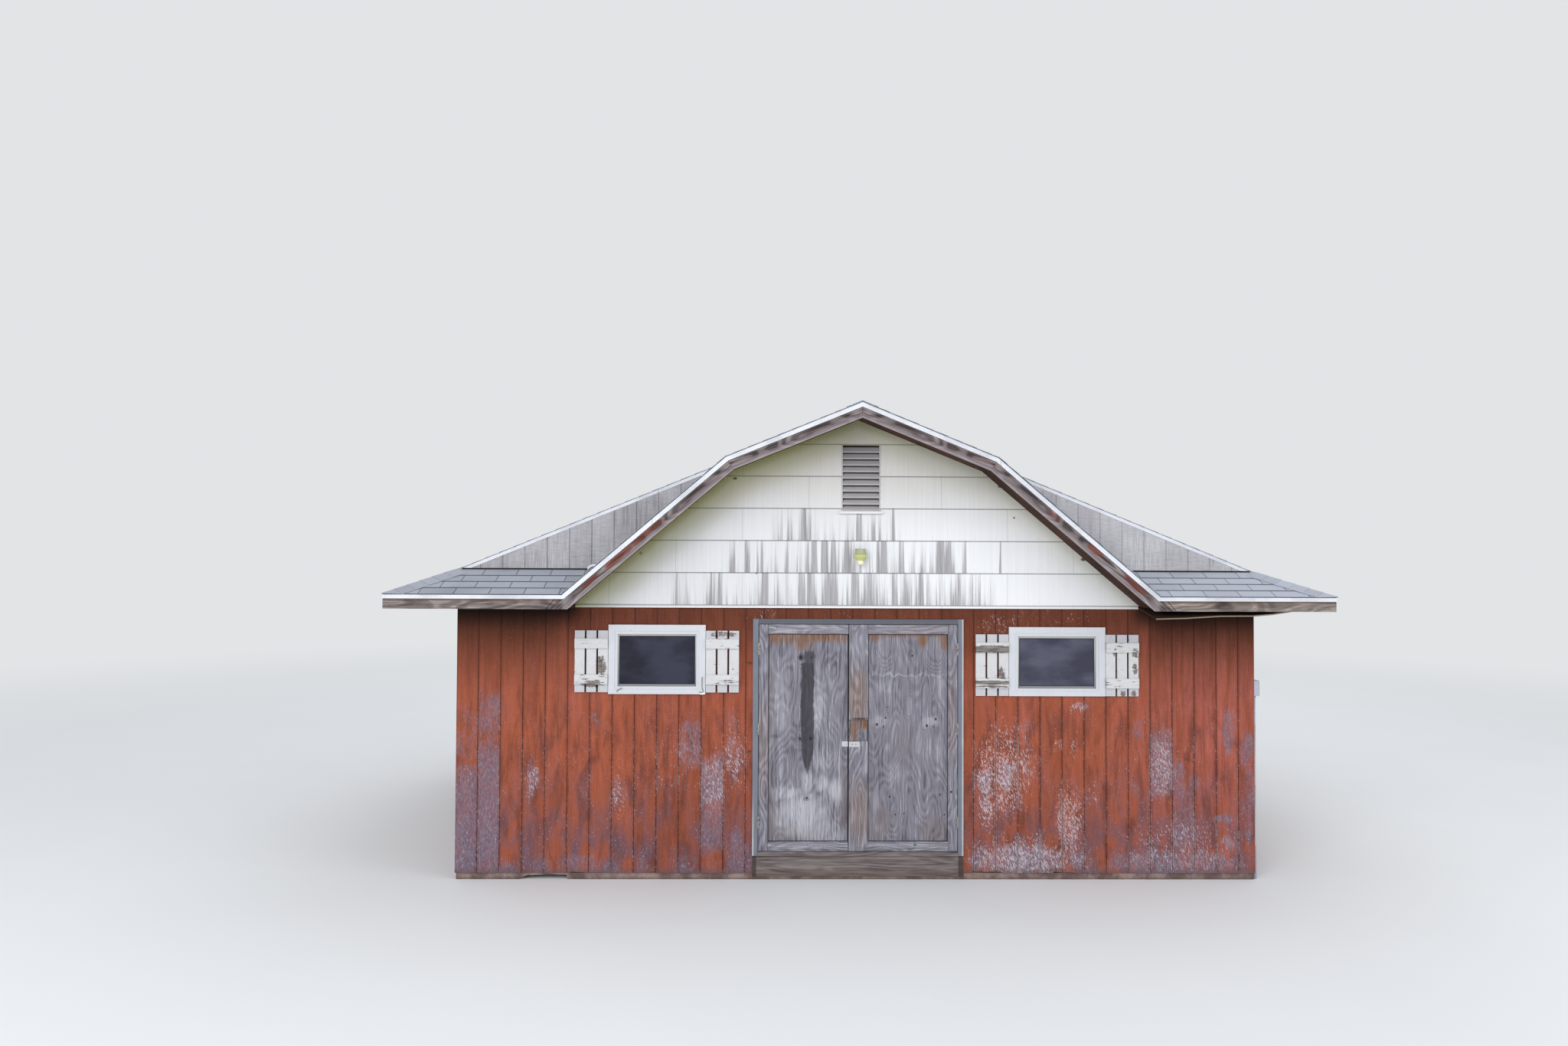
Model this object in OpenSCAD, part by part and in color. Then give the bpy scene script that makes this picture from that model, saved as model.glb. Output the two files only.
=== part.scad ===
// Low frame barn with a gambrel canopy over the front gable.
// Units are millimetres. X runs to the right, Y from the front to the rear, Z up.
// The origin is on the ground, under the middle of the whole building.

/* [Building] */
// Width over the siding of the side walls
building_w = 7315; // [6700:5:8500]
// Depth over the siding of the front and rear walls
building_d = 6096; // [4800:8:7400]
// Height of the foundation that shows above the ground
base_h = 60; // [40:2:120]
// Width of the foundation strips
base_t = 150; // [120:5:200]
// How far the foundation stands back from the face of the siding
base_inset = 10; // [4:1:20]
// Distance from the left corner to the broken place in the foundation
broken_from = 507; // [300:1:900]
// Width of the broken place
broken_w = 520; // [100:5:700]
// Height of the broken place
broken_h = 44; // [10:1:56]

/* [Walls] */
// Thickness of the grooved plywood siding
siding_t = 15; // [12:1:19]
// Spacing of the grooves in the siding
groove_pitch = 203.2; // [150:0.1:300]
// Width of a groove
groove_w = 9; // [6:1:14]
// Depth of a groove
groove_d = 4; // [2:0.5:7]
// How far left of its regular place each front sheet's first groove lies
groove_shift = 6; // [0:1:20]
// Thickness of studs, plates, joists and rafters
lumber_t = 38; // [36:1:45]
// Depth of a wall stud
stud_d = 89; // [80:1:110]
// Spacing of the studs
stud_pitch = 406.4; // [350:0.1:610]
// Height of the header over a window
window_header_h = 140; // [100:2:184]
// Height of the header over the doorway
door_header_h = 184; // [140:2:200]
// Height of the siding between the door frame's head and the gable
over_door_h = 125; // [100:1:150]
// Height of the deepest rotted bite in the lower edge of the siding
rot_h = 24; // [0:1:40]
// Width of the widest rotted bite
rot_w = 460; // [200:5:600]
// Distance from the door frame to the first rotted bite on the right
rot_from = 67; // [20:1:300]

/* [Floor] */
// Depth of the floor joists
joist_h = 140; // [120:1:160]
// Thickness of the floor deck
deck_t = 19; // [15:1:25]
// Thickness of the threshold board
threshold_t = 38; // [30:1:45]
// How far the threshold stands out from the siding
threshold_proud = 24; // [14:1:40]
// How far the sill board stands out from the siding
sill_proud = 2; // [0:1:10]

/* [Roof] */
// Pitch of the main roof and of the hipped front skirt
pitch = 22.2; // [20:0.1:24]
// Overhang of the eaves and of the canopy, from siding to fascia
overhang = 508; // [430:2:560]
// Height of the eave's top edge above the top of the siding
eave_lift = 107; // [94:1:120]
// Thickness of the roof boards with their shingles
roof_t = 18; // [14:1:26]
// Depth of the rafters
rafter_h = 89; // [80:1:100]
// Spacing of the rafters
rafter_pitch = 609.6; // [400:0.1:620]
// Depth of the ridge board
ridge_h = 140; // [120:1:184]
// Half the width of the canopy between its two breaks
break_x = 1194; // [1000:2:1400]
// Half the width of the canopy at its feet
foot_x = 2618; // [2300:2:2800]
// Thickness of fascia and rake boards
fascia_t = 19; // [15:1:25]
// Height of the fascia board below the drip edge
fascia_h = 89; // [80:1:100]
// Height of the metal drip edge on the eaves
drip_h = 34; // [28:1:40]
// Thickness that the folded drip edge takes up
drip_t = 3; // [2:0.5:4]
// Thickness of the soffit boards
soffit_t = 10; // [6:1:13]
// How far the rake boards hang down below the canopy's soffit
soffit_lift = 32; // [0:2:50]
// How far the loose soffit board hangs down at its worst
soffit_sag = 74; // [0:2:100]
// Distance from the corner of the eaves to where the sag ends
sag_end = 375; // [100:5:600]
// Clearance where pieces meet along a slope
slope_gap = 0.5; // [0.2:0.1:2]

/* [Door] */
// Clear width between the door jambs
door_w = 1828; // [1500:2:1950]
// Clear height from the threshold to the head of the door frame
door_h = 2071; // [1980:1:2080]
// How far the middle of the doorway is right of the building's middle
door_x = 8; // [-20:1:20]
// Width of the face of the door frame
frame_w = 51; // [38:1:60]
// Height of the face of the frame's head
head_h = 45; // [38:1:60]
// How far the door frame stands proud of the siding
frame_proud = 12; // [8:1:20]
// Gap between a leaf and what it passes
leaf_gap = 5; // [5:0.5:8]
// Gap between the two leaves
seam_gap = 7; // [6:0.5:10]
// Where the leaves meet, measured from the middle of the building
seam_x = -79; // [-120:1:60]
// Thickness of the plywood of a leaf
leaf_t = 19; // [15:1:22]
// Thickness of the boards on a leaf
trim_t = 19; // [15:1:22]
// Width of the stiles and rails on a leaf
trim_w = 84; // [70:1:100]
// Width of the batten at the meeting edge
batten_w = 173; // [130:1:190]
// Bottom of the missing stretch of the batten, above the leaf's foot
batten_gap_z = 998; // [900:2:1100]
// Height of the missing stretch of the batten
batten_gap_h = 196; // [120:2:240]
// Distance of the hinge knuckles from the face of the leaf
pin_gap = 1; // [0.5:0.5:3]
// Thickness of the hinge plates
plate_t = 2.5; // [2:0.5:4]
// Width of a hinge plate on the leaf, from the pin
plate_w = 12; // [9:1:50]
// Width of a hinge plate on the jamb, from the pin
jamb_plate_w = 10; // [9:1:40]
// Height of the lowest hinge above the foot of the leaf
hinge_low = 207; // [120:1:300]
// Height of the middle hinge above the foot of the leaf
hinge_mid = 1056; // [900:1:1150]
// Distance from the top of the leaf down to the highest hinge
hinge_top = 168; // [100:1:300]
// Height of the hasp's plates
hasp_h = 48; // [36:1:60]
// Length of the hasp's strap on the right leaf
hasp_w = 96; // [80:1:120]
// Thickness of the hasp's plates
hasp_t = 4; // [2:0.5:5]
// Radius of a hinge knuckle
knuckle_r = 6; // [5:0.5:8]
// Height of a hinge
hinge_h = 108; // [90:2:120]

/* [Windows] */
// Distance from the door frame to the middle of each window
window_off = 869; // [800:1:950]
// Distance from the top of the siding down to the window casing
window_drop = 182; // [120:1:260]
// How much lower the right window sits than the left one
right_low = 10; // [0:1:30]
// Width over the window casing
casing_w = 886; // [820:2:900]
// Height over the window casing
casing_h = 631; // [560:1:650]
// Width of the casing's sides and head
casing_face = 58; // [45:1:65]
// Height of the casing's lower board
sill_face = 43; // [30:1:60]
// Width of the window frame inside the casing
sash_face = 26; // [18:1:34]
// Thickness of the casing boards
casing_t = 19; // [15:1:25]
// Distance of the insect screen behind the face of the siding
screen_back = 4; // [1:1:20]
// Thickness of the insect screen
screen_t = 4; // [2:1:6]
// Width of a shutter
shutter_w = 302; // [290:2:320]
// Gap between a shutter and the window casing
shutter_gap = 4; // [0:1:15]
// How much lower the shutter's middle is than the window's
shutter_low = 18; // [0:1:40]
// How much further down the shutters of the right window have slipped
shutter_slip = 15; // [0:1:30]
// Distance from a shutter's end to its nearest batten
batten_off = 73; // [40:1:110]
// Height of a shutter
shutter_h = 562; // [500:2:600]
// Width of a shutter board, and of its battens
shutter_board = 89; // [80:1:92]

/* [Gable] */
// Height of one course of the gable's lap panels
course_h = 296; // [250:1:320]
// Thickness of a lap panel at its lower edge
lap_t = 12; // [8:1:16]
// Height of the white strip under the lap panels
strip_h = 28; // [20:1:40]
// How far the white strip laps down over the siding
strip_lap = 24; // [12:1:26]
// Thickness of the white strip
strip_t = 18; // [14:1:24]
// Width of the louvred vent
vent_w = 357; // [300:1:420]
// Height of the louvred vent
vent_h = 608; // [500:2:640]
// Distance from the ridge down to the top of the vent
vent_drop = 334; // [300:1:400]
// Width of the vent's side rails
vent_rail = 10; // [6:1:20]
// Number of louvre slats
vent_slats = 10; // [7:1:12]
// Distance of the vent's middle from the middle of the building
vent_x = 28; // [-40:1:60]
// Distance of the lamp's middle from the middle of the building
lamp_x = 20; // [-40:1:60]
// Height of the lamp's top above the foot of the lap panels
lamp_rise = 518; // [460:1:600]
// Radius of the lamp's cap
lamp_cap_r = 49; // [40:1:60]
// Radius of the lamp's collar
lamp_collar_r = 62; // [55:1:75]
// Radius of the lamp's glass
lamp_glass_r = 32; // [24:1:40]

/* [Outlet] */
// Height of the outlet box above the bottom of the siding
outlet_rise = 1620; // [1200:5:1800]
// Distance of the outlet box from the front corner
outlet_back = 130; // [100:5:600]
// Width of the outlet box
outlet_w = 70; // [50:1:90]
// Height of the outlet box
outlet_h = 137; // [110:1:160]
// How far the outlet box stands out from the wall
outlet_proud = 51; // [40:1:70]
// Radius of the conduit
conduit_r = 13; // [8:1:20]

/* [Hidden] */

BIG = 20000;
slice_t = 0.1;

// Half width over the siding, and half the whole depth with both overhangs
hw = building_w / 2;
rear_proud = fascia_t + drip_t;
front_reach = overhang + drip_t;
// Y of the front face of the siding, of its rear face and of the inner wall faces
y_front = front_reach - (front_reach + building_d + rear_proud) / 2;
y_rear = y_front + building_d;
wall_t = siding_t + stud_d;
y_in_front = y_front + wall_t;
y_in_rear = y_rear - wall_t;
y_eave = y_front - overhang;

// Heights above the ground
floor_z = base_h + joist_h + deck_t;
door_z = floor_z + threshold_t;
door_top = door_z + door_h;
siding_top = door_top + head_h + over_door_h;
eave_z = siding_top + eave_lift;
soffit_z = eave_z - drip_h - fascia_h;
strip_z = siding_top - strip_lap;
panel_z = strip_z + strip_h;

// Roof geometry: slopes as rise over run, heights at the breaks and the ridge
slope = tan(pitch);
ridge_z = eave_z + slope * (hw + overhang);
vent_z = ridge_z - vent_drop - vent_h;
break_z = ridge_z - slope * break_x;
low_slope = (break_z - eave_z) / (foot_x - break_x);
low_pitch = atan(low_slope);
roof_drop = roof_t / cos(pitch);
plate_z = roof_z(hw - wall_t) - (roof_t + rafter_h) / cos(pitch);
rake_drip_h = drip_h + 4;
rake_depth = rake_drip_h + fascia_h;
soffit_depth = rake_depth - soffit_lift;

// Door leaf edges
jamb_left = door_x - door_w / 2;
jamb_right = door_x + door_w / 2;
frame_left_x = jamb_left - frame_w;
frame_right_x = jamb_right + frame_w;
leaf_z = door_z + leaf_gap;
leaf_h = door_h - 2 * leaf_gap;
left_leaf_w = seam_x - seam_gap / 2 - jamb_left - leaf_gap;
right_leaf_x = seam_x + seam_gap / 2;
right_leaf_w = jamb_right - leaf_gap - right_leaf_x;
y_boards = y_front - frame_proud;
y_panel = y_boards + trim_t;
y_hinge = y_boards - knuckle_r - pin_gap;
hinge_z = [hinge_low, hinge_mid, leaf_h - hinge_top - hinge_h];
hasp_z = leaf_z + batten_gap_z - hasp_h - 4;

// Windows, and the holes for them in the wall
window_x = door_w / 2 + frame_w + window_off;
casing_z = siding_top - window_drop - casing_h;
hole_w = casing_w - 2 * casing_face;
hole_h = casing_h - casing_face - sill_face;
hole_z = casing_z + sill_face;

// How far a window sits above or below the height of the left one
function window_shift(x) = x > 0 ? -right_low : 0;

function roof_z(x) = eave_z + slope * (hw + overhang - abs(x));
function lap_face(z) = lap_t * (1 - 0.7 * ((z - panel_z) / course_h - floor((z - panel_z) / course_h)));

// X where the canopy's outline, moved inwards by d, has its break
function inner_break(d) =
    (eave_z + low_slope * foot_x - d / cos(low_pitch) - ridge_z + d / cos(pitch)) / (low_slope - slope);
function inner_ridge(d) = ridge_z - d / cos(pitch);
function inner_low_x(d, z) = foot_x + (eave_z - d / cos(low_pitch) - z) / low_slope;

// X where the flat soffit boards of the eaves end, behind the foot of the rake board
flat_soffit_x = inner_low_x(rake_depth - soffit_t, soffit_z);

// A solid from an outline drawn in X and Z, from y0 to y1
module along_y(y0, y1) {
    translate([0, y1, 0]) rotate([90, 0, 0]) linear_extrude(y1 - y0) children();
}

// A solid from an outline drawn in Y and Z, from x0 to x1
module along_x(x0, x1) {
    translate([x0, 0, 0]) rotate([90, 0, 90]) linear_extrude(x1 - x0) children();
}

module block(x0, x1, y0, y1, z0, z1) {
    translate([x0, y0, z0]) cube([x1 - x0, y1 - y0, z1 - z0]);
}

module both_sides() {
    children();
    mirror([1, 0, 0]) children();
}

// Half of a band that follows the canopy's outline, between two depths below it
module canopy_band(d0, d1, cut_z) {
    polygon([
        [0, inner_ridge(d0)],
        [inner_break(d0), inner_ridge(d0) - slope * inner_break(d0)],
        [inner_low_x(d0, cut_z), cut_z],
        [inner_low_x(d1, cut_z), cut_z],
        [inner_break(d1), inner_ridge(d1) - slope * inner_break(d1)],
        [0, inner_ridge(d1)]
    ]);
}

// Everything under the canopy's outline, moved inwards by d, down to bottom_z
module under_canopy(d, bottom_z) {
    polygon([
        [-inner_low_x(d, bottom_z), bottom_z],
        [-inner_break(d), inner_ridge(d) - slope * inner_break(d)],
        [0, inner_ridge(d)],
        [inner_break(d), inner_ridge(d) - slope * inner_break(d)],
        [inner_low_x(d, bottom_z), bottom_z]
    ]);
}

// Foundation

// The concrete has broken out through the front strip
module broken_place() {
    share = [[0, -1], [0.17, 0.23], [0.29, 0.82], [0.71, 1], [0.98, 0.91], [1, -1]];
    translate([-hw + broken_from, 0, 0]) along_y(y_front - 1, y_front + base_inset + base_t + 1)
        polygon([for (p = share) [p[0] * broken_w, p[1] * broken_h]]);
}

module foundation() {
    color("#9a8f8a") difference() {
        block(-hw + base_inset, hw - base_inset, y_front + base_inset, y_rear - base_inset, 0, base_h);
        block(-hw + base_inset + base_t, hw - base_inset - base_t,
            y_front + base_inset + base_t, y_rear - base_inset - base_t, -1, base_h + 1);
        block(frame_left_x, frame_right_x, y_front, y_front + lumber_t, base_h / 2, base_h + 1);
        broken_place();
    }
}

module floor_joists() {
    y0 = y_front + lumber_t;
    y1 = y_rear - siding_t;
    span = building_w - 2 * siding_t - lumber_t;
    count = ceil(span / stud_pitch);
    color("#b08d62") {
        for (i = [0 : count])
            translate([-span / 2 + i * span / count - lumber_t / 2, y0, base_h])
                cube([lumber_t, y1 - y0, joist_h]);
        block(-hw + siding_t, hw - siding_t, y0, y0 + lumber_t, base_h, base_h + joist_h);
        block(-hw + siding_t, hw - siding_t, y1 - lumber_t, y1, base_h, base_h + joist_h);
    }
}

module floor_deck() {
    color("#a58a66")
        block(-hw + siding_t, hw - siding_t, y_front + lumber_t, y_rear - siding_t,
            base_h + joist_h, floor_z);
}

// The face board under the doorway and the threshold on it
module door_sill() {
    color("#8d8580") {
        block(frame_left_x, frame_right_x, y_front - sill_proud, y_front + lumber_t,
            base_h / 2, floor_z);
        block(jamb_left, jamb_right, y_front - threshold_proud, y_in_front, floor_z, door_z);
    }
}

// Siding

// One plane of grooved siding in X and Z, with its face at y = 0
module grooved_sheet(x0, x1, z0, z1, first_groove) {
    difference() {
        block(x0, x1, 0, siding_t, z0, z1);
        for (x = [first_groove : groove_pitch : x1 - groove_w])
            if (x > x0 + groove_w)
                block(x - groove_w / 2, x + groove_w / 2, -1, groove_d, z0 - 1, z1 + 1);
    }
}

module window_hole(x) {
    z0 = hole_z + window_shift(x);
    block(x - hole_w / 2, x + hole_w / 2, -1, siding_t + 1, z0, z0 + hole_h);
}

module siding_front_left() {
    color("#a5503c") translate([0, y_front, 0]) difference() {
        grooved_sheet(-hw, frame_left_x, base_h, siding_top, -hw + groove_pitch - groove_shift);
        window_hole(-window_x);
        rot_bite(-hw + broken_from + broken_w, 1, 0.4);
    }
}

module siding_front_right() {
    color("#a5503c") translate([0, y_front, 0]) difference() {
        grooved_sheet(frame_right_x, hw, base_h, siding_top,
            frame_right_x + groove_pitch / 2 - groove_shift);
        window_hole(window_x);
        rot_bite(frame_right_x + rot_from, 0.78, 1);
        rot_bite(frame_right_x + rot_from + 1.63 * rot_w, 0.54, 0.5);
    }
}

// A shallow bite that rot has taken out of the lower edge, with its share of the largest size
module rot_bite(x, w_share, h_share) {
    outline = [[0, -1], [0.06, 1], [0.28, 0.7], [0.42, 0.3], [0.53, 0.5], [0.8, 0.35], [1, -1]];
    translate([x, 0, base_h]) along_y(-1, siding_t + 1)
        polygon([for (p = outline) [p[0] * w_share * rot_w, p[1] * h_share * rot_h]]);
}

module siding_over_door() {
    color("#8f4636") translate([0, y_front, 0])
        grooved_sheet(frame_left_x, frame_right_x, door_top + head_h, siding_top,
            frame_left_x + groove_pitch / 2);
}

module side_siding() {
    color("#a5503c") translate([-hw, 0, 0]) rotate([0, 0, 90]) mirror([0, 1, 0])
        grooved_sheet(y_front + siding_t, y_rear - siding_t, base_h, siding_top,
            y_front + siding_t + groove_pitch);
}

module siding_left() { side_siding(); }

module siding_right() { mirror([1, 0, 0]) side_siding(); }

// The outline of the main gable under the roof boards
module gable_outline(z0, x1) {
    polygon([[-x1, z0], [-x1, roof_z(x1) - roof_drop], [0, ridge_z - roof_drop],
        [x1, roof_z(x1) - roof_drop], [x1, z0]]);
}

module siding_rear() {
    color("#9c4c39") intersection() {
        translate([0, y_rear, 0]) mirror([0, 1, 0]) difference() {
            grooved_sheet(-hw, hw, base_h, ridge_z, -hw + groove_pitch);
            block(-hw - 1, hw + 1, -1, groove_d, siding_top - groove_w, siding_top);
        }
        along_y(y_rear - siding_t - 1, y_rear + 1) gable_outline(base_h - 1, hw);
    }
}

// The front gable

module vent_hole() {
    block(vent_x - vent_w / 2, vent_x + vent_w / 2, y_front - lap_t - 1, y_front + siding_t + 1,
        vent_z, vent_z + vent_h);
}

module front_gable_wall() {
    color("#9d9ba0") difference() {
        intersection() {
            translate([0, y_front, 0])
                grooved_sheet(-hw, hw, siding_top, ridge_z, -hw + groove_pitch);
            along_y(y_front - 1, y_front + siding_t + 1) gable_outline(siding_top - 1, hw);
        }
        vent_hole();
    }
}

// Lap panels as one saw-toothed profile, cut to the inside of the canopy
module gable_panels() {
    courses = ceil((ridge_z - panel_z) / course_h);
    strip_x = flat_soffit_x - slope_gap;
    color("#e3e2de") difference() {
        intersection() {
            along_x(-hw, hw) polygon(concat(
                [[y_front, panel_z]],
                [for (i = [0 : courses - 1]) each [
                    [y_front - lap_t, panel_z + i * course_h],
                    [y_front - lap_t * 0.3, panel_z + (i + 1) * course_h]
                ]],
                [[y_front, panel_z + courses * course_h]]
            ));
            along_y(y_front - lap_t - 1, y_front + 1)
                under_canopy(soffit_depth + slope_gap, panel_z - 1);
        }
        vent_hole();
    }
    color("#efefec") difference() {
        along_y(y_front - strip_t, y_front) intersection() {
            under_canopy(soffit_depth + slope_gap, strip_z);
            translate([-strip_x, strip_z]) square([2 * strip_x, strip_h]);
        }
    }
}

module gable_vent() {
    slat_pitch = (vent_h - vent_rail) / vent_slats;
    slat_rise = slat_pitch * 0.86;
    slat_t = 9;
    sill_h = 22;
    depth = siding_t + 20;
    color("#9a9799") {
        for (side = [-1, 1])
            translate([vent_x + side * (vent_w - vent_rail) / 2 - vent_rail / 2, y_front - lap_t, vent_z])
                cube([vent_rail, lap_t + depth, vent_h]);
        for (i = [0 : vent_slats - 1])
            translate([0, 0, vent_z + vent_rail + i * slat_pitch])
                along_x(vent_x - vent_w / 2, vent_x + vent_w / 2) polygon([
                    [y_front - lap_t - 4, 0], [y_front + depth, slat_rise],
                    [y_front + depth, slat_rise - slat_t], [y_front - lap_t - 4, -slat_t]
                ]);
    }
    color("#ecebe7")
        block(vent_x - vent_w / 2 - sill_h, vent_x + vent_w / 2 + sill_h,
            y_front - lap_t - 16, y_front - lap_t, vent_z - sill_h, vent_z);
}

module porch_light() {
    cap_h = 52;
    collar_z = 80;
    glass_z = 108;
    glass_h = 43;
    lamp_top = panel_z + lamp_rise;
    y_lamp = y_front - lap_t - lamp_collar_r - 8;
    seat_z = lamp_top - 80;
    color("#a9ad86") {
        translate([lamp_x, y_lamp, lamp_top]) rotate_extrude($fn = 48)
            polygon([[0, 0], [lamp_cap_r - 4, 0], [lamp_cap_r, -4], [lamp_cap_r, -cap_h],
                [lamp_collar_r, -cap_h - 8], [lamp_collar_r, -collar_z],
                [lamp_collar_r - 18, -glass_z], [0, -glass_z]]);
        translate([lamp_x, y_lamp, seat_z + 40]) rotate([-90, 0, 0])
            cylinder(r = 11, h = y_front - lap_t - y_lamp - 6, $fn = 24);
        translate([lamp_x, y_front - lap_face(seat_z), seat_z + 40]) rotate([90, 0, 0])
            cylinder(r = 40, h = 14, $fn = 32);
    }
    color("#f3efd2") translate([lamp_x, y_lamp, lamp_top - glass_z]) rotate_extrude($fn = 36)
        polygon([[0, 0], [lamp_glass_r, 0], [lamp_glass_r, -glass_h + 13],
            [lamp_glass_r - 8, -glass_h], [0, -glass_h]]);
}

// Wall framing, drawn in X and Z from a corner at the origin

module stud_wall(len, h, hole_x = 0, hole_wide = 0, shift = 0) {
    hole_foot = hole_z + shift - floor_z;
    count = max(1, round((len - lumber_t) / stud_pitch));
    step = (len - lumber_t) / count;
    difference() {
        union() {
            square([len, lumber_t]);
            translate([0, h - 2 * lumber_t]) square([len, 2 * lumber_t]);
            for (i = [0 : count])
                translate([i * step, 0]) square([lumber_t, h]);
            if (hole_wide > 0)
                translate([hole_x - hole_wide / 2 - lumber_t, hole_foot - lumber_t])
                    square([hole_wide + 2 * lumber_t, hole_h + lumber_t + window_header_h]);
        }
        if (hole_wide > 0)
            translate([hole_x - hole_wide / 2, hole_foot]) square([hole_wide, hole_h]);
    }
}

module front_frame(x0, x1, window) {
    color("#c39a63") translate([x0, 0, floor_z]) along_y(y_front + siding_t, y_in_front)
        stud_wall(x1 - x0, plate_z - floor_z, window - x0, hole_w, window_shift(window));
}

module frame_front_left() { front_frame(-hw + wall_t, frame_left_x, -window_x); }

module frame_front_right() { front_frame(frame_right_x, hw - wall_t, window_x); }

module frame_over_door() {
    z0 = door_top + head_h;
    wide = door_w + 2 * frame_w;
    cripples = 4;
    color("#c39a63") translate([frame_left_x, 0, z0]) along_y(y_front + siding_t, y_in_front) {
        square([wide, door_header_h]);
        translate([0, plate_z - z0 - 2 * lumber_t]) square([wide, 2 * lumber_t]);
        for (i = [0 : cripples])
            translate([i * (wide - lumber_t) / cripples, 0]) square([lumber_t, plate_z - z0]);
    }
}

module side_frame() {
    depth = building_d - 2 * siding_t;
    color("#c39a63") translate([-hw + siding_t, y_front + siding_t, floor_z])
        rotate([90, 0, 90]) linear_extrude(stud_d) stud_wall(depth, plate_z - floor_z);
}

module frame_left() { side_frame(); }

module frame_right() { mirror([1, 0, 0]) side_frame(); }

// Studs that stand on the wall plate and reach up to the end rafters
module gable_stud_set(skip_vent) {
    len = building_w - 2 * wall_t;
    count = round((len - lumber_t) / stud_pitch);
    step = (len - lumber_t) / count;
    intersection() {
        translate([0, -(roof_t + rafter_h) / cos(pitch)])
            polygon([[-hw, roof_z(hw)], [0, ridge_z], [hw, roof_z(hw)]]);
        difference() {
            for (i = [1 : count - 1])
                translate([-len / 2 + i * step, plate_z]) square([lumber_t, ridge_z - plate_z]);
            if (skip_vent)
                translate([vent_x - vent_w / 2, vent_z]) square([vent_w, vent_h]);
        }
    }
}

module frame_rear() {
    len = building_w - 2 * wall_t;
    color("#c39a63") {
        translate([-len / 2, 0, floor_z]) along_y(y_in_rear, y_rear - siding_t)
            stud_wall(len, plate_z - floor_z);
        along_y(y_in_rear, y_rear - siding_t) gable_stud_set(false);
    }
}

module gable_studs() {
    color("#c39a63") along_y(y_front + siding_t, y_in_front) gable_stud_set(true);
}

// Roof framing

module rafter_outline() {
    tail = hw + overhang - fascia_t;
    top = roof_t / cos(pitch);
    low = (roof_t + rafter_h) / cos(pitch);
    difference() {
        polygon([[-tail, roof_z(tail) - top], [-lumber_t / 2, roof_z(lumber_t / 2) - top],
            [-lumber_t / 2, roof_z(lumber_t / 2) - low], [-tail, roof_z(tail) - low]]);
        translate([-hw + siding_t, plate_z - BIG]) square([stud_d, BIG]);
        translate([-tail - 1, soffit_z + soffit_t - BIG]) square([overhang, BIG]);
    }
}

module rafter_row() {
    run = building_d - 2 * siding_t - lumber_t;
    count = round(run / rafter_pitch);
    color("#b98f5c") for (i = [0 : count]) {
        y = y_front + siding_t + i * run / count;
        along_y(y, y + lumber_t) rafter_outline();
    }
}

module rafters_left() { rafter_row(); }

module rafters_right() { mirror([1, 0, 0]) rafter_row(); }

module ridge_board() {
    top = ridge_z - roof_drop - slope * lumber_t / 2;
    color("#b98f5c") block(-lumber_t / 2, lumber_t / 2, y_front + siding_t, y_rear - siding_t,
        top - ridge_h, top);
}

// Roof surfaces

module main_roof() {
    edge = hw + overhang;
    color("#828488") along_y(y_front, y_rear + fascia_t)
        polygon([[-edge, eave_z], [0, ridge_z], [0, ridge_z - roof_drop], [-edge, eave_z - roof_drop]]);
}

module roof_left() { main_roof(); }

module roof_right() { mirror([1, 0, 0]) main_roof(); }

// Everything under both the side slope and the front slope of the hipped corner
module under_hip() {
    edge = hw + overhang;
    intersection() {
        along_y(y_eave, y_front) polygon([[-edge, eave_z - 60], [-edge, eave_z], [0, ridge_z],
            [0, eave_z - 60]]);
        along_x(-edge, 0) polygon([[y_eave, eave_z - 60], [y_eave, eave_z],
            [y_front, eave_z + slope * overhang], [y_front, eave_z - 60]]);
    }
}

module skirt() {
    color("#7e8085") difference() {
        under_hip();
        translate([0, 0, -roof_drop]) under_hip();
        block(-hw - overhang - 1, 1, y_eave - 1, y_front + 1, eave_z - 61, eave_z - roof_drop);
        along_y(y_eave - 1, y_front + 1) under_canopy(-slope_gap, eave_z - 70);
    }
}

module skirt_left() { skirt(); }

module skirt_right() { mirror([1, 0, 0]) skirt(); }

module canopy_roof() {
    color("#7c7e83") along_y(y_eave, y_front) both_sides_2d()
        canopy_band(0, roof_t, eave_z - roof_drop);
}

module both_sides_2d() {
    children();
    mirror([1, 0]) children();
}

module canopy_fascia() {
    color("#85766f") along_y(y_eave, y_eave + fascia_t) both_sides_2d()
        canopy_band(roof_t, rake_depth, soffit_z);
}

module canopy_soffit() {
    color("#5c4d45") along_y(y_eave + fascia_t, y_front) both_sides_2d()
        canopy_band(soffit_depth - soffit_t, soffit_depth, soffit_z + soffit_t);
}

// Fascia of one side: the front board up to the canopy's foot and the long side board
module eave_fascia() {
    edge = hw + overhang;
    top = eave_z - roof_drop;
    color("#8a7d76") {
        along_y(y_eave, y_eave + fascia_t) polygon([
            [-edge, soffit_z], [-edge, top], [-inner_low_x(roof_t, top), top],
            [-inner_low_x(roof_t, soffit_z), soffit_z]
        ]);
        block(-edge, -edge + fascia_t, y_eave, y_rear, soffit_z, top);
    }
}

module eave_fascia_left() { eave_fascia(); }

module eave_fascia_right() { mirror([1, 0, 0]) eave_fascia(); }

// Rake boards of the rear gable, with the ends of the soffit boxes
module rear_rake_boards() {
    edge = hw + overhang;
    low = (roof_t + fascia_h) / cos(pitch);
    color("#8a7d76") along_y(y_rear, y_rear + fascia_t) both_sides_2d()
        polygon([[0, ridge_z - roof_drop], [-edge, eave_z - roof_drop], [-edge, soffit_z],
            [-hw, soffit_z], [-hw, roof_z(hw) - low], [0, ridge_z - low]]);
}

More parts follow.
